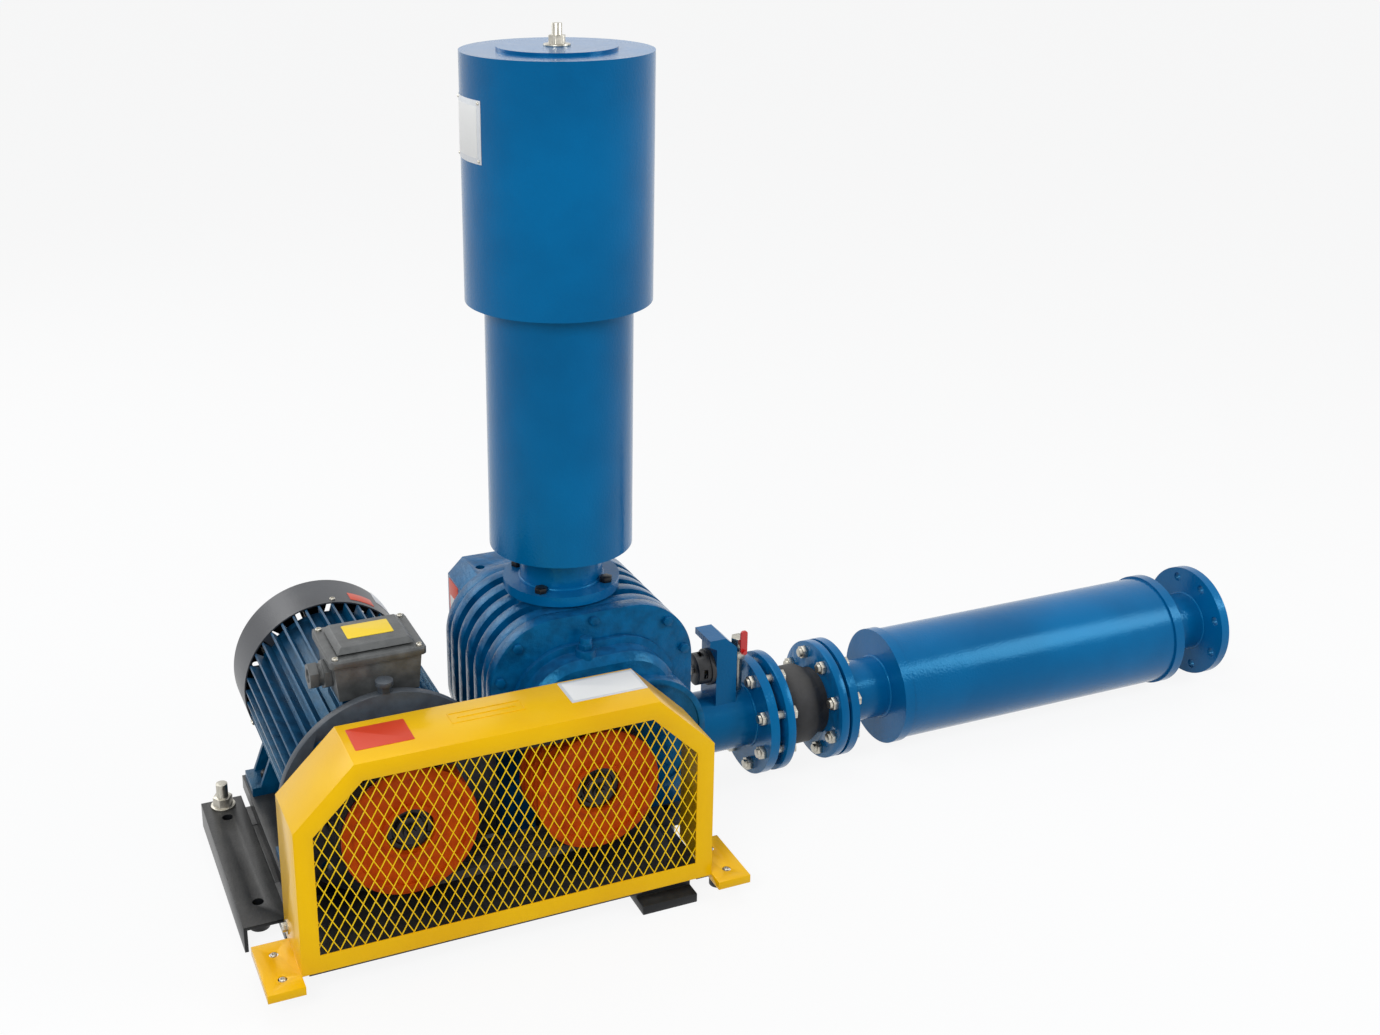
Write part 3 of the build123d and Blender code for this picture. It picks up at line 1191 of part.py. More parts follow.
def line_bolts(x0, x1):
    """Through bolts with a head and a nut on one flange joint."""
    bolts = []
    for u, v in ring_points(line_bolt_count, line_pcd / 2, half_hole_step):
        y, z = casing_y + u, outlet_z + v
        bolts.append(fuse([rod_x(x0 - line_head - 5, x1 + line_head, y, z, line_bolt_r),
                           hex_x(x0 - line_head, x0, y, z, line_hex),
                           hex_x(x1, x1 + line_head, y, z, line_hex)]))
    return bolts


save("line_bolts", Compound(children=line_bolts(first_x0, second_x1) + line_bolts(third_x0, fourth_x1)))

# ================================================================ relief valve
relief_x0 = seat_x - relief_body_length
relief_outline = [(relief_bore_r, seat_x), (relief_body_r, seat_x), (relief_body_r, seat_x - 8),
                  (relief_body_r - 4, seat_x - 8), (relief_body_r - 4, relief_x0),
                  (stem_r + shaft_fit, relief_x0), (stem_r + shaft_fit, relief_x0 + 5),
                  (relief_body_r - relief_wall - 1, relief_x0 + 5),
                  (relief_body_r - relief_wall - 1, seat_x - 4), (relief_bore_r, seat_x - 4)]
relief_body = turned_x(casing_y, valve_z, relief_outline)
cage_windows = [Pos(relief_x0 + 13, casing_y, valve_z) * Rot(angle, 0, 0) * Pos(0, 0, relief_body_r - 6)
                * Box(8, 18, 16) for angle in (0, 90, 180, 270)]
save("relief_valve_body", cut(relief_body, cage_windows))
poppet_x1 = seat_x - 4 - touch_gap
poppet_x0 = poppet_x1 - poppet_thickness
knob_x1 = relief_x0 - touch_gap
poppet = fuse([rod_x(poppet_x0, poppet_x1, casing_y, valve_z, poppet_r),
               rod_x(knob_x1 - 8, poppet_x0, casing_y, valve_z, stem_r),
               hex_x(knob_x1 - 8, knob_x1, casing_y, valve_z, knob_r)])
save("relief_poppet", poppet)
spring_x0 = relief_x0 + 5
spring_x1 = poppet_x0
coil_r = 13.0
spring_length = spring_x1 - spring_x0 - spring_wire - 0.2
coil = Helix(spring_length / spring_turns, spring_length, coil_r)
coil_section = Plane(coil @ 0, z_dir=coil % 0) * Rectangle(spring_wire, spring_wire)
coil_solid = sweep(coil_section, path=coil, is_frenet=True)
spring = Pos(spring_x0 + spring_wire / 2 + 0.1, casing_y, valve_z) * Rot(0, 90, 0) * coil_solid
save("relief_spring", spring)

# ================================================================ drain cock
cock_z1 = cock_body_z + cock_body_height
ball_z = cock_body_z + cock_body_height / 2
nipple = rod_z(cock_x, casing_y, outlet_z + pipe_r - 3, cock_body_z, nipple_r)
cock_body = fuse([nipple, hex_z(cock_x, casing_y, cock_body_z, cock_body_z + 12, cock_body_r + 2),
                  rod_z(cock_x, casing_y, cock_body_z + 12, cock_z1 - 10, cock_body_r - 1),
                  hex_z(cock_x, casing_y, cock_z1 - 10, cock_z1, cock_body_r + 1)])
cock_body = cut(cock_body, [rod_x(upright_x1, first_x0, casing_y, outlet_z, pipe_r),
                            rod_z(cock_x, casing_y, outlet_z + pipe_bore_r - 3, ball_z + 2, nipple_r - 4)])
boss_y0 = casing_y - cock_body_r - 6
cock_body = cock_body + rod_y(cock_x, boss_y0, casing_y - 6, ball_z, 7)
stem_seat = rod_y(cock_x, boss_y0 - 1, casing_y - 7, ball_z, cock_stem_r + shaft_fit)
save("drain_cock_body", cock_body - stem_seat)
lever_y1 = boss_y0 - touch_gap
lever_y0 = lever_y1 - lever_thickness
lever_face = Pos(cock_x, ball_z + lever_length / 2 - 5) * RectangleRounded(lever_width, lever_length, 5)
lever = prism_y(lever_face, lever_y0, lever_y1)
lever = fuse([lever, rod_y(cock_x, lever_y0 - 5, casing_y - 7.5, ball_z, cock_stem_r)])
save("drain_cock_lever", lever)

print(len(made), "pieces")
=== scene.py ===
# %% [markdown]
# # A belt-driven roots vacuum pump
# The solids of the machine come from its CAD model: skid, guard, motor, blower and pipe line.
# This lesson gives each of them its paint, rubber or metal, softens the edges that a foundry or
# a press brake would round, and models the small things that CAD leaves out.

# %% Load the solids
import bpy
import json
from math import cos, pi, radians, sin
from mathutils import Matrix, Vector

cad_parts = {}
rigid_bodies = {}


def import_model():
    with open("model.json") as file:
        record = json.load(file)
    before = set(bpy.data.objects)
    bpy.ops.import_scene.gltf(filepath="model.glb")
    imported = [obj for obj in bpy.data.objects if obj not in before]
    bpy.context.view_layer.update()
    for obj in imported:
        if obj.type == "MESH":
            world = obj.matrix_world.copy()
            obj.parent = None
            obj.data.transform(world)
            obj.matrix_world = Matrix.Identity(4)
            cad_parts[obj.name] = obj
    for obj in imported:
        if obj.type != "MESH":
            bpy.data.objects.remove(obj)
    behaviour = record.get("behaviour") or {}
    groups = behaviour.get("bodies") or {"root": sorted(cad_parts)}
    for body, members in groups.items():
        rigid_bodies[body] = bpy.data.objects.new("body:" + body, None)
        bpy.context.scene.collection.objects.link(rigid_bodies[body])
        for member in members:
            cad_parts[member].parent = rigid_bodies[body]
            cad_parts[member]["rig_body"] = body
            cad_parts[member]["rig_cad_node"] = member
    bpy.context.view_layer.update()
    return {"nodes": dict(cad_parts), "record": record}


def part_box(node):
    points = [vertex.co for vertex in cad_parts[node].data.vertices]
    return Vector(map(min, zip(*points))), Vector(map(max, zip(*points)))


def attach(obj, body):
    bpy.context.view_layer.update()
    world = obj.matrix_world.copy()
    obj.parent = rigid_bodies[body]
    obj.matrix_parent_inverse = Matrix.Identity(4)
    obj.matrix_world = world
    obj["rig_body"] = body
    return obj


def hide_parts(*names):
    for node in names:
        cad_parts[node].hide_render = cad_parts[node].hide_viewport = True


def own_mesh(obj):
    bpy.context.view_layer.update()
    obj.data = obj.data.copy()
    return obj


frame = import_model()
nodes = frame["nodes"]
bodies = frame["record"]["behaviour"]["bodies"]
body_of_node = {node: body for body, members in bodies.items() for node in members}
scene = bpy.context.scene
scene.view_settings.view_transform = "Standard"

# %% [markdown]
# ## Lines and faces that the small pieces share
# A screw, a plate or a weld sits on a shaft line, on a pipe or on a face of a solid. Those are read off the
# solids' own boxes, so that a small piece still sits where it belongs after a solid has changed its size.

# %% Read the shared lines and faces
X, Y, Z = 0, 1, 2
LOW, HIGH = 0, 1


def face(node, axis, side):
    """Where a solid's box ends along one axis, on its low or its high side."""
    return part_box(node)[side][axis]


def middle(node, axis):
    """Half way through a solid's box along one axis."""
    return (face(node, axis, LOW) + face(node, axis, HIGH)) / 2


def inside(node, axis, side, distance):
    """A distance in from one side of a solid's box."""
    return face(node, axis, side) + (distance if side == LOW else -distance)


motor_x = middle("motor_flange", X)
blower_x = middle("blower_pulley", X)
shaft_z = middle("motor_flange", Z)
inlet_x = middle("inlet_silencer", X)
pipe_y = middle("joint_flanges", Y)
pipe_z = middle("joint_flanges", Z)
valve_z = middle("relief_spring", Z)
guard_top = face("belt_guard", Z, HIGH)
tab_length = 0.057
guard_left = inside("belt_guard", X, LOW, tab_length)
guard_right = inside("belt_guard", X, HIGH, tab_length)
guard_sheet = 0.0025
pipe_flange = 0.018
print("shafts at x:", round(motor_x, 3), round(blower_x, 3), "height:", round(shaft_z, 3))

# %% [markdown]
# ## Camera
# The machine is seen from the front left and from above, with its guard nearest. The lens looks a little
# past the machine, and a small shift frames it, as a photographer does with a shift lens.

# %% Camera
camera_lean = (radians(70.86), radians(-0.1), -0.3939)
bpy.ops.object.camera_add(location=(-0.7106, -2.421, 1.654), rotation=camera_lean)
camera = bpy.context.object
camera.name = "studio_camera"
camera.data.sensor_width = 36.0
camera.data.lens = 43.62
camera.data.shift_x = 0.0603
camera.data.shift_y = -0.0780
camera.data.clip_start = 0.05
scene.camera = camera
print("camera stands", round(camera.location.length, 2), "m from the middle of the skid")

# %% [markdown]
# ## Light and floor
# The machine stands on a white sweep. A white world would light it so strongly that its blue turned pale, so
# the world shines dimly on the machine and is white only where it is looked at. The same test serves the
# floor, so both ask one helper for it.

# %% Helpers for nodes
def add(tree, kind, **values):
    """A node with its plain settings, and its inputs by name."""
    node = tree.nodes.new("ShaderNode" + kind)
    for key, value in values.items():
        if hasattr(node, key):
            setattr(node, key, value)
        else:
            node.inputs[key.replace("_", " ").title()].default_value = value
    return node


def math_node(tree, operation, first, second):
    """One sum. A first or second that is a socket is linked, a number is set."""
    node = tree.nodes.new("ShaderNodeMath")
    node.operation = operation
    for slot, value in zip(node.inputs, (first, second)):
        if isinstance(value, (int, float)):
            slot.default_value = value
        else:
            tree.links.new(value, slot)
    return node.outputs[0]


def looked_at(tree):
    """One for what is seen straight, in a shine or through something clear, and zero for light that falls."""
    rays = add(tree, "LightPath")
    seen = math_node(tree, "MAXIMUM", rays.outputs["Is Camera Ray"], rays.outputs["Is Glossy Ray"])
    return math_node(tree, "MAXIMUM", seen, rays.outputs["Is Transmission Ray"])


def mixed_by(tree, factor, first, second, output_kind):
    """Two shaders mixed by a factor into the tree's output."""
    mix = add(tree, "MixShader")
    tree.links.new(factor, mix.inputs[0])
    tree.links.new(first.outputs[0], mix.inputs[1])
    tree.links.new(second.outputs[0], mix.inputs[2])
    tree.links.new(mix.outputs[0], add(tree, output_kind).inputs[0])


# %% World
world = bpy.data.worlds.new("studio")
scene.world = world
world.use_nodes = True
sky = world.node_tree
sky.nodes.clear()
falling_light = add(sky, "Background", Color=(0.93, 0.96, 1.0, 1), Strength=0.36)
backdrop = add(sky, "Background", Color=(1, 1, 1, 1), Strength=1.0)
mixed_by(sky, looked_at(sky), falling_light, backdrop, "OutputWorld")
print("world nodes:", len(sky.nodes))

# %% [markdown]
# Large soft boxes give enamel its long quiet highlights, where small lamps would leave hard spots. The key
# stands at the front left, so the guard's front and the left of the can are the brightest faces.

# %% Lamps
def lamp(name, place, aim, size, power):
    """A square soft box that faces a point."""
    bpy.ops.object.light_add(type="AREA", location=place)
    light = bpy.context.object
    light.name = name
    light.data.size = size
    light.data.energy = power
    light.rotation_euler = (Vector(aim) - Vector(place)).to_track_quat("-Z", "Y").to_euler()
    return light


lamp("key_box", (-2.2, -2.6, 3.0), (0.2, 0, 0.4), 1.7, 76)
lamp("right_box", (3.0, -1.8, 2.2), (0.4, 0, 0.4), 1.4, 38)
lamp("top_box", (0.3, 0.6, 3.6), (0.3, 0, 0.3), 2.4, 34)
lamp("back_box", (-1.5, 3.0, 2.4), (0.2, 0, 0.5), 2.0, 30)

# %% [markdown]
# The floor is a matt sheet that mostly glows where it is looked at, which leaves only a faint shade under the
# machine. It lies a little under the rubber feet, so that no two faces meet.

# %% Floor
floor_side = 160
floor_drop = 0.0006
bpy.ops.object.select_all(action="DESELECT")
bpy.ops.mesh.primitive_plane_add(size=floor_side, location=(0.3, 0, -floor_drop))
floor = bpy.context.object
floor.name = "studio_floor"
floor_paint = bpy.data.materials.new("studio floor")
floor_paint.use_nodes = True
sheet = floor_paint.node_tree
sheet.nodes.clear()
matt = add(sheet, "BsdfDiffuse", Color=(0.62, 0.63, 0.64, 1))
glow = add(sheet, "Emission", Color=(1, 1, 1, 1), Strength=1.04)
glow_share = math_node(sheet, "MULTIPLY", looked_at(sheet), 0.86)
mixed_by(sheet, glow_share, matt, glow, "OutputMaterial")
floor.data.materials.append(floor_paint)
print("floor:", floor_side, "m wide")

# %% [markdown]
# ## Effects that several finishes share
# Rippled paint, the skin of a sand casting, dust on level faces and rubbed edges appear all over the machine.
# Each is a node group that is built once with its own numbers, and each finish sets those its own way.

# %% A maker for node groups
def effect(name, numbers, results):
    """A new node group with float inputs and float outputs, and its two end nodes."""
    group = bpy.data.node_groups.new(name, "ShaderNodeTree")
    for label, start in numbers:
        socket = group.interface.new_socket(name=label, in_out="INPUT", socket_type="NodeSocketFloat")
        socket.default_value = start
    for label in results:
        group.interface.new_socket(name=label, in_out="OUTPUT", socket_type="NodeSocketFloat")
    return group, group.nodes.new("NodeGroupInput"), group.nodes.new("NodeGroupOutput")


# %% [markdown]
# Sprayed enamel dries with a fine ripple, like the skin of an orange, and it starts to run where it was laid
# on thick. One even noise gives the ripple, and one that is stretched upwards gives the runs. A slow third
# noise shifts the tone, because no coat is quite even.

# %% Sprayed paint with orange peel
peel, given, result = effect("Orange peel", [("Scale", 180.0), ("Runs", 0.3)], ["Height", "Tone"])
where = add(peel, "TexCoord")
ripple = add(peel, "TexNoise", Detail=2.0, Roughness=0.45)
peel.links.new(where.outputs["Object"], ripple.inputs["Vector"])
peel.links.new(given.outputs["Scale"], ripple.inputs["Scale"])
stretch = add(peel, "Mapping")
stretch.inputs["Scale"].default_value = (1.0, 1.0, 0.22)
peel.links.new(where.outputs["Object"], stretch.inputs["Vector"])
drip = add(peel, "TexNoise", Scale=38.0, Detail=1.5)
peel.links.new(stretch.outputs[0], drip.inputs["Vector"])
run_height = math_node(peel, "MULTIPLY", drip.outputs[0], given.outputs["Runs"])
total = math_node(peel, "ADD", ripple.outputs[0], run_height)
peel.links.new(total, result.inputs["Height"])
cloud = add(peel, "TexNoise", Scale=5.0, Detail=3.0)
peel.links.new(where.outputs["Object"], cloud.inputs["Vector"])
peel.links.new(cloud.outputs[0], result.inputs["Tone"])
print("orange peel nodes:", len(peel.nodes))

# %% [markdown]
# Sand leaves a grain on a casting, and the mould leaves lumps under it. Paint softens both and hides neither.
# Fine noise lies on coarse noise, and the coarse one moves the tone too.

# %% Sand-cast skin
skin, given, result = effect("Cast skin", [("Grain", 260.0), ("Lumps", 0.5)], ["Height", "Tone"])
where = add(skin, "TexCoord")
grain = add(skin, "TexNoise", Detail=4.0, Roughness=0.6)
skin.links.new(where.outputs["Object"], grain.inputs["Vector"])
skin.links.new(given.outputs["Grain"], grain.inputs["Scale"])
lumps = add(skin, "TexNoise", Scale=45.0, Detail=2.0)
skin.links.new(where.outputs["Object"], lumps.inputs["Vector"])
lump_height = math_node(skin, "MULTIPLY", lumps.outputs[0], given.outputs["Lumps"])
total = math_node(skin, "ADD", grain.outputs[0], lump_height)
skin.links.new(total, result.inputs["Height"])
skin.links.new(lumps.outputs[0], result.inputs["Tone"])
print("cast skin nodes:", len(skin.nodes))

# %% [markdown]
# Paint goes first where hands, slings and spanners catch it. A softened normal is compared with the true one,
# and the two part only near an edge. A noise breaks that band up, so the edge is chipped, not ruled.

# %% Rubbed edges
rubbed, given, result = effect("Rubbed edges", [("Width", 0.0015), ("Kept", 0.5)], ["Mask"])
soft_edge = rubbed.nodes.new("ShaderNodeBevel")
soft_edge.samples = 4
rubbed.links.new(given.outputs["Width"], soft_edge.inputs["Radius"])
surface = add(rubbed, "NewGeometry")
turn = rubbed.nodes.new("ShaderNodeVectorMath")
turn.operation = "DOT_PRODUCT"
rubbed.links.new(soft_edge.outputs[0], turn.inputs[0])
rubbed.links.new(surface.outputs["Normal"], turn.inputs[1])
sharp = math_node(rubbed, "SUBTRACT", 1.0, turn.outputs["Value"])
patch = add(rubbed, "TexNoise", Scale=60.0, Detail=5.0)
where = add(rubbed, "TexCoord")
rubbed.links.new(where.outputs["Object"], patch.inputs["Vector"])
chipped = math_node(rubbed, "SUBTRACT", patch.outputs[0], given.outputs["Kept"])
chipped = math_node(rubbed, "MULTIPLY", chipped, 9.0)
worn = math_node(rubbed, "MULTIPLY", math_node(rubbed, "MULTIPLY", sharp, 6.0), chipped)
held = rubbed.nodes.new("ShaderNodeClamp")
rubbed.links.new(worn, held.inputs["Value"])
rubbed.links.new(held.outputs[0], result.inputs["Mask"])
print("rubbed edge nodes:", len(rubbed.nodes))

# %% [markdown]
# Dust lies where a face looks up. The upward share of the normal says where, and a noise makes it patchy. The
# finish also loses some of its shine there.

# %% Dust that settles on level faces
dust, given, result = effect("Settled dust", [("Amount", 0.3)], ["Mask"])
surface = add(dust, "NewGeometry")
part_up = add(dust, "SeparateXYZ")
dust.links.new(surface.outputs["Normal"], part_up.inputs[0])
level = math_node(dust, "SUBTRACT", part_up.outputs["Z"], 0.55)
level = math_node(dust, "MULTIPLY", level, 2.0)
fluff = add(dust, "TexNoise", Scale=24.0, Detail=6.0, Roughness=0.65)
where = add(dust, "TexCoord")
dust.links.new(where.outputs["Object"], fluff.inputs["Vector"])
lying = math_node(dust, "MULTIPLY", level, fluff.outputs[0])
lying = math_node(dust, "MULTIPLY", lying, given.outputs["Amount"])
held = dust.nodes.new("ShaderNodeClamp")
dust.links.new(lying, held.inputs["Value"])
dust.links.new(held.outputs[0], result.inputs["Mask"])
print("dust nodes:", len(dust.nodes))

# %% [markdown]
# A turned or ground face keeps the fine lines of its tool. One noise is squeezed along Y until it is lines.

# %% Machining marks
marks, given, result = effect("Machining marks", [("Scale", 90.0)], ["Height", "Tone"])
where = add(marks, "TexCoord")
lay = add(marks, "Mapping")
lay.inputs["Scale"].default_value = (1.0, 14.0, 1.0)
marks.links.new(where.outputs["Object"], lay.inputs["Vector"])
lines = add(marks, "TexNoise", Detail=3.0, Roughness=0.7)
marks.links.new(lay.outputs[0], lines.inputs["Vector"])
marks.links.new(given.outputs["Scale"], lines.inputs["Scale"])
marks.links.new(lines.outputs[0], result.inputs["Height"])
marks.links.new(lines.outputs[0], result.inputs["Tone"])
print("effects:", len(bpy.data.node_groups))

# %% [markdown]
# ## Finishes
# Every finish is one Principled shader. Its colour runs between two close tones, its bump comes from one of
# the effects, and dust and rubbed edges lie on top. Constant values sit on the shader's own sockets.

# %% A maker for finishes
PLAIN = (1.0, 1.0, 1.0, 1.0)
roughness_spread = 0.08
coat_roughness = 0.08
dust_roughness = 0.5


def srgb(red, green, blue):
    """A colour written as it looks on a screen, 0 to 255, as linear values."""
    def linear(c):
        c = c / 255
        return c / 12.92 if c <= 0.04045 else ((c + 0.055) / 1.055) ** 2.4
    return (linear(red), linear(green), linear(blue), 1.0)


def use(tree, group, numbers):
    """One use of an effect in a finish, with its numbers set."""
    node = tree.nodes.new("ShaderNodeGroup")
    node.node_tree = group
    for label, value in numbers.items():
        node.inputs[label].default_value = value
    return node


def laid_over(tree, mask, below, above):
    """One colour laid over another where a mask says so."""
    over = add(tree, "Mix", data_type="RGBA")
    tree.links.new(mask, over.inputs["Factor"])
    tree.links.new(below, over.inputs[6])
    over.inputs[7].default_value = above
    return over.outputs[2]


def finish(name, light_tone, dark_tone, effect_group, bump, roughness, numbers=None, metallic=0.0, coat=0.0,
           worn=None, dusty=0.0, shine=0.5, glint=PLAIN):
    """A finish from two tones and one surface effect, with rubbed edges and dust where they are asked for.
    Worn holds the colour under the paint, the width of the rubbed edge and how much of it stays whole."""
    material = bpy.data.materials.new(name)
    material.use_nodes = True
    tree = material.node_tree
    shader = tree.nodes["Principled BSDF"]
    surface = use(tree, effect_group, numbers or {})
    tones = add(tree, "ValToRGB")
    for stop, position, tone in zip(tones.color_ramp.elements, (0.35, 0.65), (dark_tone, light_tone)):
        stop.position = position
        stop.color = tone
    tree.links.new(surface.outputs["Tone"], tones.inputs[0])
    colour = tones.outputs[0]
    rough = math_node(tree, "MULTIPLY", surface.outputs["Tone"], roughness_spread * 2)
    rough = math_node(tree, "ADD", rough, roughness - roughness_spread)
    if worn:
        under_paint, width, kept = worn
        edge = use(tree, rubbed, {"Width": width, "Kept": kept})
        colour = laid_over(tree, edge.outputs["Mask"], colour, under_paint)
    if dusty:
        film = use(tree, dust, {"Amount": dusty})
        colour = laid_over(tree, film.outputs["Mask"], colour, srgb(168, 165, 158))
        matt = math_node(tree, "MULTIPLY", film.outputs["Mask"], dust_roughness)
        rough = math_node(tree, "ADD", rough, matt)
    tree.links.new(colour, shader.inputs["Base Color"])
    tree.links.new(rough, shader.inputs["Roughness"])
    height = add(tree, "Bump", Strength=1.0, Distance=bump)
    tree.links.new(surface.outputs["Height"], height.inputs["Height"])
    tree.links.new(height.outputs[0], shader.inputs["Normal"])
    shader.inputs["Metallic"].default_value = metallic
    shader.inputs["Coat Weight"].default_value = coat
    shader.inputs["Coat Roughness"].default_value = coat_roughness
    shader.inputs["Specular IOR Level"].default_value = shine
    shader.inputs["Specular Tint"].default_value = glint
    return material


# %% [markdown]
# ## Blue enamel
# The blower, the silencers, the pipes and the motor's frame are sprayed blue over a dark primer, which shows
# at rubbed edges. Sheet takes the paint smooth and glossy, castings keep their grain, and the motor has its
# maker's duller blue. The shine is tinted a little, because a clear white one would wash the blue out.

# %% Blue enamel
primer = srgb(38, 52, 60)
blue_glint = (0.12, 0.62, 1.0, 1.0)
blue_sheet = finish("blue enamel on sheet", srgb(0, 102, 160), srgb(0, 88, 142), peel, 0.00035, 0.18,
                    {"Scale": 240.0, "Runs": 0.9}, worn=(primer, 0.0012, 0.64), dusty=0.02, glint=blue_glint)
blue_cast = finish("blue enamel on castings", srgb(0, 88, 140), srgb(0, 70, 116), skin, 0.0008, 0.17,
                   {"Grain": 170.0, "Lumps": 1.2}, worn=(primer, 0.0016, 0.62), dusty=0.03, glint=blue_glint)
motor_blue = finish("blue enamel on the motor", srgb(4, 72, 110), srgb(0, 54, 86), skin, 0.0006, 0.3,
                    {"Grain": 300.0, "Lumps": 0.7}, worn=(primer, 0.0014, 0.62), dusty=0.06, glint=blue_glint)
print("blues: 3")

# %% [markdown]
# ## Other enamels
# The guard and its mesh are warning yellow, and the skid and the valves are black. The mesh's yellow is
# painted lighter than the guard's, as painted light on its thin strands. The fan cowl, the motor's flange and
# the terminal box are greys. The pulleys have a thin orange paint that darkens at its edges, and their orange
# is painted darker overall, as painted shade from the guard around them.

# %% Other enamels
guard_yellow = finish("yellow enamel on the guard", srgb(250, 196, 0), srgb(242, 184, 0), peel, 0.00018, 0.22,
                      {"Scale": 200.0, "Runs": 0.3}, worn=(srgb(200, 140, 5), 0.0012, 0.6), dusty=0.03,
                      glint=(1.0, 0.82, 0.25, 1.0))
# The mesh's yellow is painted lighter than the guard's same enamel, as painted light on its thin strands.
mesh_yellow_painted_light = finish("mesh yellow with painted light", srgb(255, 214, 12), srgb(250, 204, 4), peel, 0.0001, 0.26,
                     {"Scale": 400.0, "Runs": 0.2}, glint=(1.0, 0.85, 0.3, 1.0))
skid_black = finish("black enamel on the skid", srgb(26, 28, 31), srgb(15, 17, 19), peel, 0.0003, 0.32,
                    {"Scale": 260.0, "Runs": 0.5}, worn=(srgb(95, 92, 88), 0.0014, 0.6), dusty=0.16,
                    shine=0.3)
motor_grey = finish("dark grey enamel", srgb(62, 65, 71), srgb(48, 50, 55), peel, 0.0003, 0.32,
                    {"Scale": 300.0, "Runs": 0.1}, worn=(srgb(35, 36, 38), 0.001, 0.62), dusty=0.1,
                    shine=0.35)
box_grey = finish("grey enamel on the terminal box", srgb(88, 90, 90), srgb(68, 70, 70), skin, 0.0005, 0.38,
                  {"Grain": 340.0, "Lumps": 0.5}, worn=(srgb(150, 152, 150), 0.001, 0.6), dusty=0.08)
flange_grey = finish("dark blue-grey flange paint", srgb(58, 68, 78), srgb(44, 52, 62), skin, 0.0005, 0.42,
                     {"Grain": 300.0, "Lumps": 0.5}, worn=(srgb(120, 124, 128), 0.0012, 0.58), dusty=0.2)
valve_black = finish("black valve paint", srgb(40, 41, 44), srgb(26, 27, 30), skin, 0.0005, 0.42,
                     {"Grain": 300.0, "Lumps": 0.5}, worn=(srgb(110, 110, 112), 0.001, 0.6), dusty=0.15)
# The pulleys' orange is painted darker overall, as painted shade from the guard around them.
pulley_orange_painted_shade = finish("orange pulley paint with painted shade", srgb(196, 74, 6), srgb(172, 56, 2), skin, 0.0003, 0.42,
                       {"Grain": 320.0, "Lumps": 0.4}, worn=(srgb(120, 46, 8), 0.0014, 0.6), shine=0.25,
                       glint=(1.0, 0.6, 0.2, 1.0))
print("other enamels: 8")

# %% [markdown]
# ## Metals
# Bolts and cocks are zinc plated or blackened. Rotors, gears and shafts are ground steel. The motor's core is
# stacked sheet and its windings are varnished copper, which few will see but a cut through the motor shows.

# %% Metals
zinc = finish("zinc plate", srgb(206, 202, 190), srgb(160, 157, 148), marks, 0.0001, 0.3, metallic=0.95)
dark_bolt = finish("blackened bolts", srgb(34, 34, 36), srgb(20, 20, 22), marks, 0.0001, 0.36, metallic=0.3)
steel = finish("machined steel", srgb(176, 178, 180), srgb(128, 130, 134), marks, 0.00012, 0.28, metallic=1.0)
laminations = finish("core laminations", srgb(96, 92, 88), srgb(60, 58, 56), marks, 0.0003, 0.5,
                     {"Scale": 400.0}, metallic=0.8)
copper = finish("varnished copper wire", srgb(196, 112, 52), srgb(138, 70, 30), marks, 0.0006, 0.35,
                {"Scale": 300.0}, metallic=0.9)
print("metals: 5")

# %% [markdown]
# ## Rubber, cloth, plastic and paper
# These are dull and fine-grained. Each has its own grain size, because a belt's cloth, a moulded fan and
# pleated paper break the light at different scales. Only the lever's dipped grip is glossy.

# %% Rubber, cloth, plastic and paper
belt_black = finish("belt fabric", srgb(40, 40, 42), srgb(24, 24, 26), skin, 0.0002, 0.78,
                    {"Grain": 700.0, "Lumps": 0.2})
rubber_black = finish("black rubber", srgb(38, 38, 40), srgb(24, 24, 26), skin, 0.0003, 0.62,
                      {"Grain": 420.0, "Lumps": 0.4}, dusty=0.2)
grip_red = finish("dipped red vinyl", srgb(226, 40, 34), srgb(196, 22, 22), peel, 0.0003, 0.3,
                  {"Scale": 260.0, "Runs": 0.4}, coat=0.4)
fan_plastic = finish("moulded fan plastic", srgb(44, 45, 48), srgb(30, 31, 34), skin, 0.0001, 0.5,
                     {"Grain": 500.0, "Lumps": 0.2}, dusty=0.35)
filter_paper = finish("pleated filter paper", srgb(226, 214, 170), srgb(196, 182, 138), skin, 0.0003, 0.9,
                      {"Grain": 600.0, "Lumps": 0.3})
print("soft finishes: 5")

# %% [markdown]
# ## Plates
# Plates are bare aluminium, blank white film and plain yellow or red. They carry no print, so they need only
# a colour and a faint unevenness.

# %% Plates
plate_white = finish("bare aluminium plate", srgb(222, 225, 228), srgb(204, 207, 211), marks, 0.00004, 0.4,
                     metallic=0.25)
paper_white = finish("blank white film", srgb(238, 238, 236), srgb(230, 230, 228), peel, 0.00004, 0.45)
plate_yellow = finish("plain yellow plate", srgb(250, 214, 30), srgb(240, 202, 14), peel, 0.00006, 0.35)
plate_red = finish("plain red plate", srgb(222, 70, 30), srgb(208, 56, 22), peel, 0.00006, 0.35)
print("plate finishes: 4")

# %% [markdown]
# ## Paint
# Every solid gets the finish of its real piece. The list goes by finish, so that a colour can be changed for
# all its pieces at once, and a last line names any solid that was forgotten.

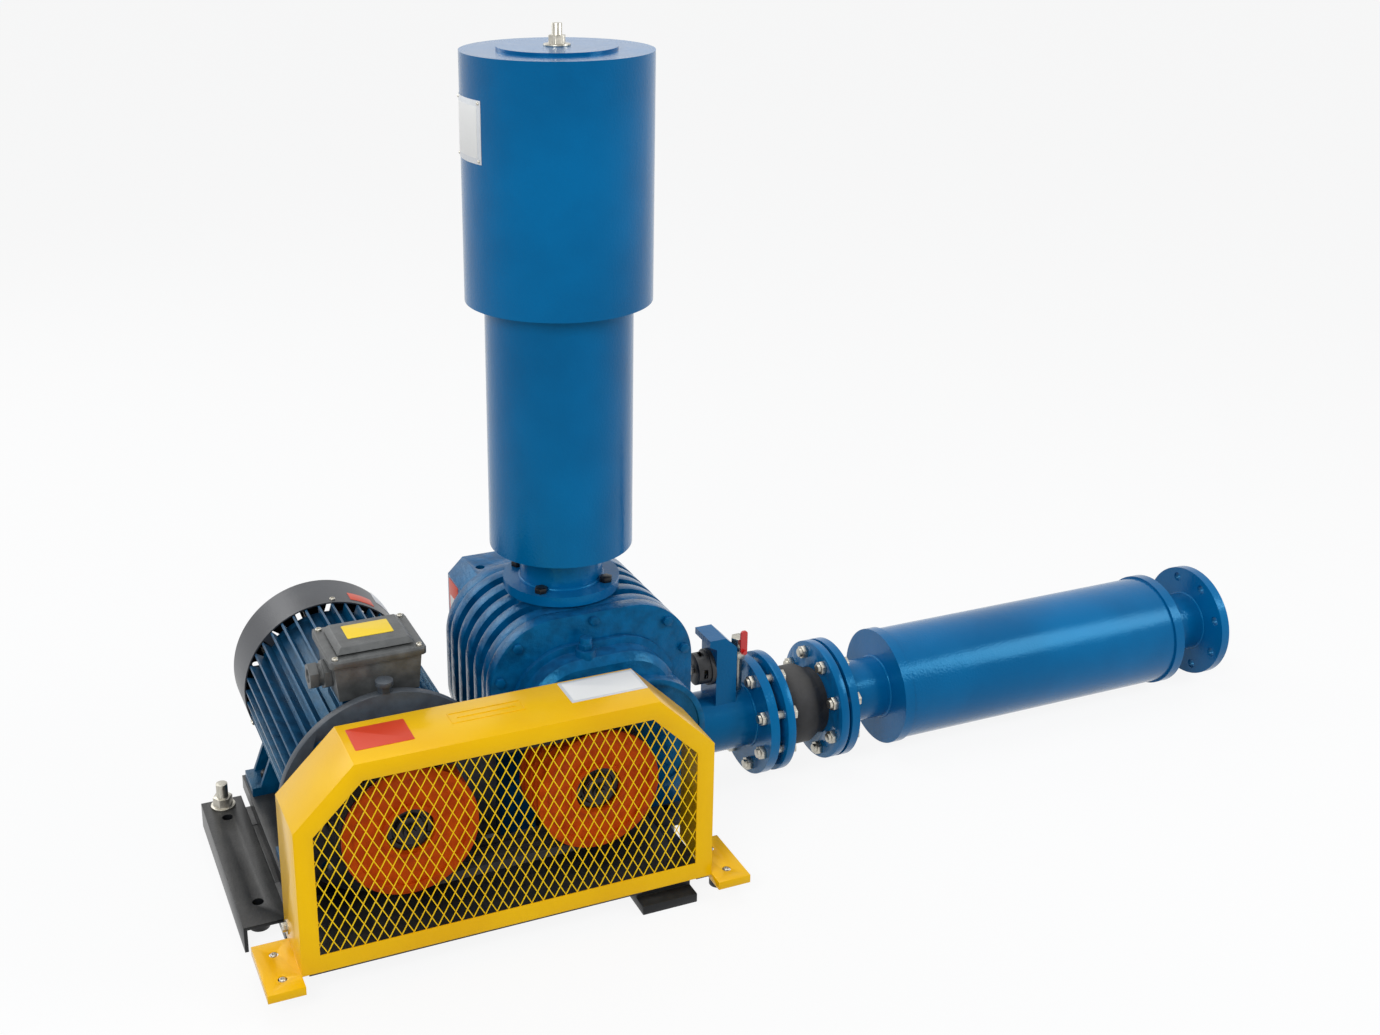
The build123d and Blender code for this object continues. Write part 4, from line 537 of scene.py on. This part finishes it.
# %% Paint every solid
coats = {
    skid_black: "base_cross_rails base_long_rails base_right_rail motor_plate",
    guard_yellow: "belt_guard",
    mesh_yellow_painted_light: "guard_mesh",
    rubber_black: "guard_feet rubber_joint line_gasket shaft_seal",
    blue_cast: "blower_casing front_end_plate rear_end_plate drive_end_cover gear_case outlet_manifold "
               "cover_bolts oil_filler_plug",
    motor_blue: "motor_frame motor_rear_shield",
    blue_sheet: "inlet_silencer filter_can filter_lid outlet_silencer outlet_tee joint_flanges",
    motor_grey: "fan_cowl",
    flange_grey: "motor_flange flange_plug",
    box_grey: "terminal_box terminal_lid cable_glands",
    pulley_orange_painted_shade: "motor_pulley blower_pulley",
    belt_black: "drive_belts",
    zinc: "line_bolts lid_stud rail_stud drain_cock_body relief_spring",
    dark_bolt: "inlet_flange_bolts lifting_eye motor_foot_bolts",
    steel: "drive_rotor driven_rotor drive_gear driven_gear motor_shaft motor_bearings blower_bearings "
           "silencer_core relief_poppet",
    laminations: "stator_core",
    copper: "stator_windings",
    fan_plastic: "cooling_fan",
    filter_paper: "filter_element",
    valve_black: "relief_valve_body check_valve_body check_flap",
    grip_red: "drain_cock_lever",
}
for material, names in coats.items():
    for node in names.split():
        nodes[node].data.materials.clear()
        nodes[node].data.materials.append(material)
unpainted = sorted(n for n, o in nodes.items() if not o.data.materials or o.data.materials[0].name not in
                   {m.name for m in coats})
print("unpainted solids:", unpainted)

# %% [markdown]
# ## Soft edges for the castings and sheets
# A solid from CAD arrives as loose triangles with knife-sharp edges. A copy of it is merged, its flat faces
# are joined up again, and a small bevel gives it the radius that paint and casting leave. The copy then
# stands for the solid, and rides on the same body.

# %% Helpers for modelling
merge_distance = 0.00001
flat_angle = 0.5


def wake(piece):
    """Deselect everything, then select and activate one object."""
    if bpy.context.mode != "OBJECT":
        bpy.ops.object.mode_set(mode="OBJECT")
    bpy.ops.object.select_all(action="DESELECT")
    piece.hide_viewport = False
    piece.select_set(True)
    bpy.context.view_layer.objects.active = piece


def settle(piece, name, material, body, angle=35):
    """Put a finished piece's place into its mesh, smooth it, paint it and let it ride on its body."""
    wake(piece)
    piece.name = name
    bpy.ops.object.transform_apply(location=True, rotation=True, scale=True)
    bpy.ops.object.shade_smooth_by_angle(angle=radians(angle))
    if material:
        piece.data.materials.clear()
        piece.data.materials.append(material)
    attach(piece, body)
    return piece


def round_edges(piece, width, segments=2, limit=40):
    """Bevel the edges that turn by more than a limit."""
    wake(piece)
    bpy.ops.object.modifier_add(type="BEVEL")
    bevel = piece.modifiers[-1]
    bevel.width = width
    bevel.segments = segments
    bevel.limit_method = "ANGLE"
    bevel.angle_limit = radians(limit)
    bevel.harden_normals = False
    bpy.ops.object.modifier_apply(modifier=bevel.name)


def dressed(node, width=0.0):
    """A smooth copy of a solid, with soft edges, that stands for it."""
    source = nodes[node]
    wake(source)
    bpy.ops.object.duplicate()
    piece = bpy.context.view_layer.objects.active
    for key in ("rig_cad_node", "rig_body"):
        del piece[key]
    bpy.ops.object.parent_clear(type="CLEAR_KEEP_TRANSFORM")
    bpy.ops.mesh.customdata_custom_splitnormals_clear()
    bpy.ops.object.mode_set(mode="EDIT")
    bpy.ops.mesh.select_all(action="SELECT")
    bpy.ops.mesh.remove_doubles(threshold=merge_distance)
    bpy.ops.mesh.dissolve_limited(angle_limit=radians(flat_angle))
    bpy.ops.object.mode_set(mode="OBJECT")
    if width:
        round_edges(piece, width)
    settle(piece, node + "_shape", None, body_of_node[node])
    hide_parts(node)
    return piece


# %% [markdown]
# Castings get the widest edges, folded sheet and plate narrower ones, and bolts the narrowest. Thin walls and
# belts get none, and are only merged and smoothed. The list goes by the width of the edge, in metres.

# %% Dress the shapes that show
edge_widths = {
    0.0: "fan_cowl filter_can filter_lid inlet_silencer outlet_silencer outlet_tee rubber_joint lifting_eye "
         "drive_belts",
    0.0004: "lid_stud",
    0.0005: "drive_rotor driven_rotor",
    0.0006: "motor_pulley blower_pulley rail_stud line_bolts inlet_flange_bolts drain_cock_body cooling_fan",
    0.0008: "motor_frame terminal_lid cable_glands joint_flanges check_valve_body relief_valve_body "
            "cover_bolts motor_foot_bolts guard_feet flange_plug oil_filler_plug motor_shaft",
    0.001: "motor_flange motor_rear_shield",
    0.0012: "belt_guard",
    0.0015: "motor_plate base_cross_rails base_long_rails base_right_rail",
    0.002: "front_end_plate rear_end_plate drive_end_cover terminal_box outlet_manifold",
    0.0025: "blower_casing",
    0.003: "gear_case",
}
shapes = [dressed(node, width) for width, names in edge_widths.items() for node in names.split()]
print("dressed shapes:", len(shapes), "triangles:", sum(len(p.data.loop_triangles) for p in shapes))

# %% [markdown]
# ## The relief spring
# The relief valve's disc slides out against a coil of square wire, over 6 mm of travel. The coil gets a
# smooth copy with a mesh of its own.

# %% Copy the spring
spring = dressed("relief_spring")
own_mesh(spring)

# %% [markdown]
# ## Turned pieces
# Bushes, caps and weld beads are round. Each starts as one point that is extruded along an outline, and the
# outline is spun round an axis, as a lathe would turn it. A part turn gives a curved plate.

# %% Helpers for turned and cut pieces
UP, LEFT, RIGHT, FRONT, BACK = (0, 0, 1), (-1, 0, 0), (1, 0, 0), (0, -1, 0), (0, 1, 0)


def pick(piece, test):
    """Select the faces of a piece that pass a test, and stay in edit mode."""
    wake(piece)
    bpy.ops.object.mode_set(mode="EDIT")
    bpy.ops.mesh.select_mode(type="FACE")
    bpy.ops.mesh.select_all(action="DESELECT")
    bpy.ops.object.mode_set(mode="OBJECT")
    for polygon in piece.data.polygons:
        polygon.select = bool(test(polygon))
    bpy.ops.object.mode_set(mode="EDIT")


def face_out():
    """Turn every face of the piece in edit mode outwards, and leave edit mode."""
    bpy.ops.mesh.select_all(action="SELECT")
    bpy.ops.mesh.normals_make_consistent(inside=False)
    bpy.ops.object.mode_set(mode="OBJECT")


def turned(outline, steps=64, turn=2 * pi, start=0.0, lumps=0.0):
    """Spin an outline of (radius, height) points round +Z, and close what is left open."""
    bpy.ops.object.select_all(action="DESELECT")
    bpy.ops.mesh.primitive_plane_add(size=0.01, location=(0, 0, 0))
    piece = bpy.context.object
    bpy.ops.object.mode_set(mode="EDIT")
    bpy.ops.mesh.select_mode(type="VERT")
    bpy.ops.mesh.select_all(action="SELECT")
    bpy.ops.mesh.merge(type="CENTER")
    bpy.ops.transform.translate(value=(outline[0][0], 0, outline[0][1]))
    for (r0, z0), (r1, z1) in zip(outline, outline[1:]):
        bpy.ops.mesh.extrude_vertices_move(TRANSFORM_OT_translate={"value": (r1 - r0, 0, z1 - z0)})
    bpy.ops.mesh.select_all(action="SELECT")
    bpy.ops.mesh.spin(steps=steps, angle=turn, center=(0, 0, 0), axis=(0, 0, 1))
    bpy.ops.mesh.select_all(action="SELECT")
    bpy.ops.mesh.remove_doubles(threshold=merge_distance)
    bpy.ops.mesh.fill_holes(sides=0)
    if lumps:
        bpy.ops.transform.vertex_random(offset=lumps, uniform=0.0, normal=0.0, seed=4)
    face_out()
    piece.rotation_euler = (0, 0, start)
    bpy.ops.object.transform_apply(location=True, rotation=True, scale=True)
    return piece


def rectangle(width, depth, place=(0, 0, 0)):
    """A level rectangle with its middle at a place."""
    bpy.ops.object.select_all(action="DESELECT")
    bpy.ops.mesh.primitive_plane_add(size=1, location=place)
    piece = bpy.context.object
    piece.scale = (width, depth, 1)
    bpy.ops.object.transform_apply(location=True, rotation=True, scale=True)
    return piece


def cylinder(radius, height, foot=0.0, sides=32):
    """An upright cylinder or prism whose foot is at a height over the origin."""
    bpy.ops.object.select_all(action="DESELECT")
    bpy.ops.mesh.primitive_cylinder_add(vertices=sides, radius=radius, depth=height,
                                        location=(0, 0, foot + height / 2))
    bpy.ops.object.transform_apply(location=True, rotation=True, scale=True)
    return bpy.context.object


def stand(piece, name, place, toward, material, body, angle=35):
    """Turn a piece so that its top faces a direction, put it at its place and let it ride."""
    wake(piece)
    piece.location = place
    piece.rotation_euler = Vector(UP).rotation_difference(Vector(toward)).to_euler()
    return settle(piece, name, material, body, angle)


def copied(pattern, name, place, toward, material, body):
    """A copy of a pattern piece, with its own mesh, at its place."""
    wake(pattern)
    bpy.ops.object.duplicate()
    return stand(bpy.context.object, name, place, toward, material, body)


def thrown_away(*patterns):
    """Delete the pattern pieces once their copies are made."""
    for pattern in patterns:
        wake(pattern)
        bpy.ops.object.delete()


# %% [markdown]
# ## Screws and bolts
# A pan head starts as a short cylinder: its top edge is rounded over, the top is inset and the driver's
# recess is pushed in. A hex head is a six-sided cylinder with its corners turned off, on a washer. Both are
# made once and copied to every place.

# %% Patterns for small fasteners
washer_height = 0.0018


def pan_screw(radius, height):
    """A rounded head with a driver's recess, seated at the origin."""
    piece = cylinder(radius, height)
    pick(piece, lambda f: f.normal.z > 0.9)
    bpy.ops.mesh.bevel(offset=height * 0.45, segments=4)
    pick(piece, lambda f: f.normal.z > 0.99 and f.center.z > height * 0.99)
    bpy.ops.mesh.inset(thickness=radius * 0.22)
    bpy.ops.mesh.extrude_region_move(TRANSFORM_OT_translate={"value": (0, 0, -height * 0.5)})
    bpy.ops.object.mode_set(mode="OBJECT")
    return piece


def hex_bolt(across, height, washer):
    """A six-sided head with chamfered corners on a washer, seated at the origin."""
    bore = across * 0.3
    ring = [(bore, 0.0), (washer, 0.0), (washer, washer_height), (bore, washer_height), (bore, 0.0)]
    seat = turned(ring, 40)
    head = cylinder(across * 0.577, height, washer_height, sides=6)
    pick(head, lambda f: f.normal.z > 0.9)
    bpy.ops.mesh.inset(thickness=across * 0.06, depth=height * 0.08)
    bpy.ops.object.mode_set(mode="OBJECT")
    round_edges(head, across * 0.03, 2, 30)
    seat.select_set(True)
    bpy.ops.object.join()
    return head


pan = pan_screw(0.0052, 0.0034)
hexagon = hex_bolt(0.013, 0.0065, 0.0115)
print("patterns:", pan.dimensions[:], hexagon.dimensions[:])

# %% [markdown]
# The lid of the terminal box has a screw near each corner, on its rim. Each foot of the guard has two, which
# sit down in its holes. The guard's ends are held by hex bolts, and the cowl by three screws round its rim.
# The disc of the relief valve has a bolt in its middle, which rides with the disc.

# %% Drive the screws in
lid_rim_z = face("terminal_lid", Z, LOW) + 0.012
lid_screw_inset = 0.0105
lid_screws = [(inside("terminal_lid", X, side, lid_screw_inset),
               inside("terminal_lid", Y, end, lid_screw_inset), lid_rim_z)
              for side in (LOW, HIGH) for end in (LOW, HIGH)]
foot_r = 0.014
tab_depth = 0.124
tab_screw_inset = 0.031
tab_front = face("belt_guard", Y, LOW)
tab_screw_rows = (tab_front + tab_screw_inset, tab_front + tab_depth - tab_screw_inset)
tab_screws = [(inside("guard_feet", X, side, foot_r), y, face("guard_feet", Z, HIGH))
              for side in (LOW, HIGH) for y in tab_screw_rows]
low_bolt_z, high_bolt_z = 0.070, 0.262
screw_places = {
    "lid_screw": (pan, lid_screws, UP),
    "tab_screw": (pan, tab_screws, UP),
    "guard_left_screw": (hexagon, [(guard_left, -0.2455, low_bolt_z)], LEFT),
    "guard_right_screw": (hexagon, [(guard_right, -0.262, z) for z in (low_bolt_z, high_bolt_z)], RIGHT),
}
driven = []
for label, (pattern, places, toward) in screw_places.items():
    for number, place in enumerate(places, 1):
        driven.append(copied(pattern, f"{label}_{number}", place, toward, zinc, "root"))
cowl_r = 0.1500
cowl_screw_sunk = 0.0003
cowl_screw_y = face("fan_cowl", Y, LOW) + 0.0115
for number, lean in enumerate((6, 126, 246), 1):
    out_of_cowl = Vector((sin(radians(lean)), 0, cos(radians(lean))))
    spot = Vector((motor_x, cowl_screw_y, shaft_z)) + out_of_cowl * (cowl_r - cowl_screw_sunk)
    driven.append(copied(pan, f"cowl_screw_{number}", spot, out_of_cowl, zinc, "root"))
disc_face = (face("relief_poppet", X, LOW), pipe_y, valve_z)
driven.append(copied(hexagon, "relief_centre_bolt", disc_face, LEFT, zinc, "relief_poppet"))
print("small fasteners:", len(driven))

# %% [markdown]
# ## Hubs of the pulleys
# Each pulley is held by a dark taper bush that fills the recess in its hub, and a cap with one bolt covers
# the end of the shaft. The bush and the cap are turned outlines, and they spin with their pulley.

# %% Taper bushes and shaft caps
hub_recess = 0.020
hub_floor_y = face("motor_pulley", Y, LOW) + hub_recess
bush_height = 0.011
bush_screw_circle = 0.0318
bush_screw_y = hub_floor_y - bush_height + 0.0005
cap_height = 0.0038
bush_outline = [(0.0215, 0.0), (0.0368, 0.0), (0.0368, 0.0095), (0.0352, bush_height), (0.0285, bush_height),
                (0.0268, 0.008), (0.0215, 0.008), (0.0215, 0.0)]
cap_outline = [(0.0, 0.0), (0.0238, 0.0), (0.0238, 0.003), (0.0222, 0.0048), (0.016, 0.0048),
               (0.0145, cap_height), (0.0, cap_height)]
hubs = {"motor": (motor_x, face("motor_shaft", Y, LOW), "motor_rotor"),
        "blower": (blower_x, face("drive_rotor", Y, LOW), "drive_rotor")}
for shaft, (x, end_y, body) in hubs.items():
    stand(turned(bush_outline), shaft + "_bush", (x, hub_floor_y, shaft_z), FRONT, dark_bolt, body)
    stand(turned(cap_outline), shaft + "_shaft_cap", (x, end_y, shaft_z), FRONT, dark_bolt, body)
    copied(hexagon, shaft + "_cap_bolt", (x, end_y - cap_height, shaft_z), FRONT, dark_bolt, body)
    for number, lean in enumerate((90, 210, 330), 1):
        spot = (x + bush_screw_circle * cos(radians(lean)), bush_screw_y,
                shaft_z + bush_screw_circle * sin(radians(lean)))
        copied(pan, f"{shaft}_bush_screw_{number}", spot, FRONT, dark_bolt, body)
thrown_away(pan, hexagon)
print("hubs:", len(hubs))

# %% [markdown]
# ## Weld beads
# Pipe necks are welded to their flanges and silencers all round. A bead is a small round section spun into a
# ring, and every point is pushed a little at random, so light breaks on it as it does on hand-laid weld.

# %% Lay the beads
bead_steps = 1500        # to a metre of radius
bead_lump = 0.16         # of the bead's width
bead_rise = 0.0005


def bead(name, radius, width, place, toward, material):
    """A lumpy ring of weld in the corner between a pipe and a face."""
    section = [(radius + width * cos(radians(a)), width * sin(radians(a))) for a in range(0, 361, 45)]
    ring = turned(section, steps=int(radius * bead_steps), lumps=width * bead_lump)
    return stand(ring, name, place, toward, material, "root", 80)


neck_r = 0.070
inlet_flange = 0.017
neck_top = 0.080
neck_foot_z = face("inlet_silencer", Z, LOW)
inlet_beads = {"inlet_flange_bead": neck_foot_z + inlet_flange + bead_rise,
               "inlet_neck_bead": neck_foot_z + neck_top - bead_rise}
for name, z in inlet_beads.items():
    bead(name, neck_r, 0.0035, (inlet_x, pipe_y, z), UP, blue_sheet)
pipe_r = 0.057
body_wall = 0.003
flange_seat = 0.0165
line_beads = {"tee_flange_bead": (face("outlet_tee", X, HIGH) - pipe_flange - bead_rise, 0.003),
              "silencer_flange_bead": (face("outlet_silencer", X, LOW) + flange_seat, 0.003),
              "silencer_front_bead": (face("silencer_core", X, LOW) - body_wall - bead_rise, 0.0035),
              "silencer_rear_bead": (face("silencer_core", X, HIGH) + body_wall + bead_rise, 0.0035),
              "end_flange_bead": (face("outlet_silencer", X, HIGH) - pipe_flange - bead_rise, 0.003)}
for name, (x, width) in line_beads.items():
    bead(name, pipe_r, width, (x, pipe_y, pipe_z), RIGHT, blue_sheet)
print("beads:", len(inlet_beads) + len(line_beads))

# %% [markdown]
# ## Bare plates
# Flat plates are cut from sheet: a plane gets its corners rounded, is extruded to its thickness and has its
# rim softened. All are left blank: a metal plate, and on it a field of thin film where the print would be.

# %% Flat plates
def plate(name, width, depth, thickness, place, toward, material, corner=0.002):
    """A flat blank plate with rounded corners, lying on a face that looks a given way."""
    piece = rectangle(width, depth)
    bpy.ops.object.mode_set(mode="EDIT")
    bpy.ops.mesh.select_mode(type="VERT")
    bpy.ops.mesh.select_all(action="SELECT")
    bpy.ops.mesh.bevel(offset=corner, segments=4, affect="VERTICES")
    bpy.ops.mesh.select_mode(type="FACE")
    bpy.ops.mesh.select_all(action="SELECT")
    bpy.ops.mesh.extrude_region_move(TRANSFORM_OT_translate={"value": (0, 0, thickness)})
    face_out()
    round_edges(piece, thickness * 0.3, 2, 50)
    return stand(piece, name, place, toward, material, "root")


metal = 0.0008   # thickness of a plate
film = 0.0003    # thickness of the film on it
gear_side = face("gear_case", X, LOW)
flat_plates = {
    "guard_red_plate": (0.090, 0.064, metal, (-0.1800, -0.2715, guard_top), UP, plate_red),
    "guard_white_plate": (0.128, 0.066, metal, (0.1830, -0.2590, guard_top), UP, plate_white),
    "guard_white_field": (0.118, 0.056, film, (0.1830, -0.2590, guard_top + metal), UP, paper_white),
    "gear_case_plate": (0.104, 0.052, metal, (gear_side, 0.1830, 0.3360), LEFT, plate_red),
    "gear_case_field": (0.060, 0.036, film, (gear_side - metal, 0.1830, 0.3280), LEFT, paper_white),
}
for name, (width, depth, thickness, place, toward, material) in flat_plates.items():
    plate(name, width, depth, thickness, place, toward, material)
print("flat plates:", len(flat_plates))

# %% [markdown]
# Two thin black sheets close the deck of the skid under the guard and under the motor. They are plates too,
# and they fill the space between the rails and the guard's end wall.

# %% Sheets of the deck
deck_top = face("base_right_rail", Z, HIGH) - 0.0005
strip_overlap = 0.0002
strip_left = face("base_right_rail", X, HIGH) - strip_overlap
strip_width = guard_right - guard_sheet - strip_left
strip_x = strip_left + strip_width / 2
deck_sheets = {"deck_edge_strip": (strip_width, 0.153, 0.006, strip_x, -0.2575),
               "deck_middle_sheet": (0.540, 0.178, 0.0035, -0.0495, 0.0)}
for name, (width, depth, thickness, x, y) in deck_sheets.items():
    plate(name, width, depth, thickness, (x, y, deck_top - thickness), UP, skid_black, 0.001)
print("deck sheets:", len(deck_sheets), "strip width:", round(strip_width, 4))

# %% [markdown]
# ## The raised middle of the terminal lid
# The lid is cast with a raised field whose sides slope. A plane is extruded upwards and its new top is drawn
# in, which slopes the four sides, and then every edge is softened. A yellow blank sits on it.

# %% Raise the lid's field
field_foot = (motor_x, middle("terminal_lid", Y), face("terminal_lid", Z, HIGH) - 0.0005)
field_height = 0.009
field_top = (field_foot[X], field_foot[Y], field_foot[Z] + field_height)
field = rectangle(0.124, 0.100, field_foot)
pick(field, lambda f: True)
bpy.ops.mesh.extrude_region_move(TRANSFORM_OT_translate={"value": (0, 0, field_height)})
bpy.ops.transform.resize(value=(0.86, 0.83, 1), center_override=field_top)
face_out()
round_edges(field, 0.0014, 3, 20)
settle(field, "lid_raised_field", box_grey, "root")
blank_place = (motor_x, field_top[Y] + 0.005, field_top[Z])
plate("lid_yellow_plate", 0.074, 0.046, metal, blank_place, UP, plate_yellow)
print("lid field raised to", round(field_top[Z], 4))

# %% [markdown]
# ## Curved plates
# Plates that lie on a drum are a thin section spun through part of a turn: one with its white film and four
# rivets on the filter can, and two on the fan cowl. The rivet is turned once and copied.

# %% Bend the plates round the can and the cowl
def drum_plate(name, radius, thickness, height, first, last, place, toward, material):
    """A thin plate bent round a drum between two angles."""
    section = [(radius, 0.0), (radius + thickness, 0.0), (radius + thickness, height), (radius, height),
               (radius, 0.0)]
    piece = turned(section, 24, radians(last - first), radians(last))
    round_edges(piece, thickness * 0.3, 2, 60)
    return stand(piece, name, place, toward, material, "root", 40)


can_r = 0.1510
can_metal = 0.0010
can_plate_foot = 1.178
can_plate_height = 0.096
can_margin = 0.009
plate_place = (inlet_x, pipe_y, can_plate_foot)
film_place = (inlet_x, pipe_y, can_plate_foot + can_margin)
film_r = can_r + can_metal
film_height = can_plate_height - 2 * can_margin
drum_plate("can_plate", can_r, can_metal, can_plate_height, 162, 200, plate_place, UP, plate_white)
drum_plate("can_plate_field", film_r, film, film_height, 165.5, 196.5, film_place, UP, paper_white)
rivet = turned([(0.0, 0.0), (0.0026, 0.0), (0.0024, 0.0010), (0.0015, 0.0018), (0.0, 0.0021)], 20)
rivet_inset = 0.0045
rivet_heights = (can_plate_foot + rivet_inset, can_plate_foot + can_plate_height - rivet_inset)
rivet_r = film_r - 0.0001
for number, (lean, z) in enumerate([(a, z) for a in (164.2, 197.8) for z in rivet_heights], 1):
    out_of_can = Vector((cos(radians(lean)), sin(radians(lean)), 0))
    spot = Vector((inlet_x, pipe_y, z)) + out_of_can * rivet_r
    copied(rivet, f"can_plate_rivet_{number}", spot, out_of_can, zinc, "root")
thrown_away(rivet)
cowl_plates = {"cowl_red_plate": (0.030, -71, -53, 0.219, plate_red),
               "cowl_white_plate": (0.046, -46, -20, 0.260, plate_white)}
for name, (height, first, last, y, material) in cowl_plates.items():
    drum_plate(name, cowl_r, 0.0006, height, first, last, (motor_x, y, shaft_z), BACK, material)
print("curved plates:", 2 + len(cowl_plates), "rivets:", number)

# %% [markdown]
# ## The pressed mark on the guard
# The guard's top carries a pressed rectangle with a short bar inside. A plane is inset to a narrow frame, its
# middle is deleted and the frame is raised, and the bar is a narrow plate.

# %% Press the mark
mark_height = 0.0009
mark_middle = (-0.0115, -0.2665, guard_top)
mark = rectangle(0.118, 0.031, mark_middle)
pick(mark, lambda f: True)
bpy.ops.mesh.inset(thickness=0.0022)
bpy.ops.mesh.delete(type="FACE")
bpy.ops.mesh.select_all(action="SELECT")
bpy.ops.mesh.extrude_region_move(TRANSFORM_OT_translate={"value": (0, 0, mark_height)})
face_out()
round_edges(mark, 0.0004, 2, 50)
settle(mark, "pressed_frame", guard_yellow, "root")
plate("pressed_bar", 0.094, 0.0030, mark_height, mark_middle, UP, guard_yellow, 0.0012)
print("pressed mark made")
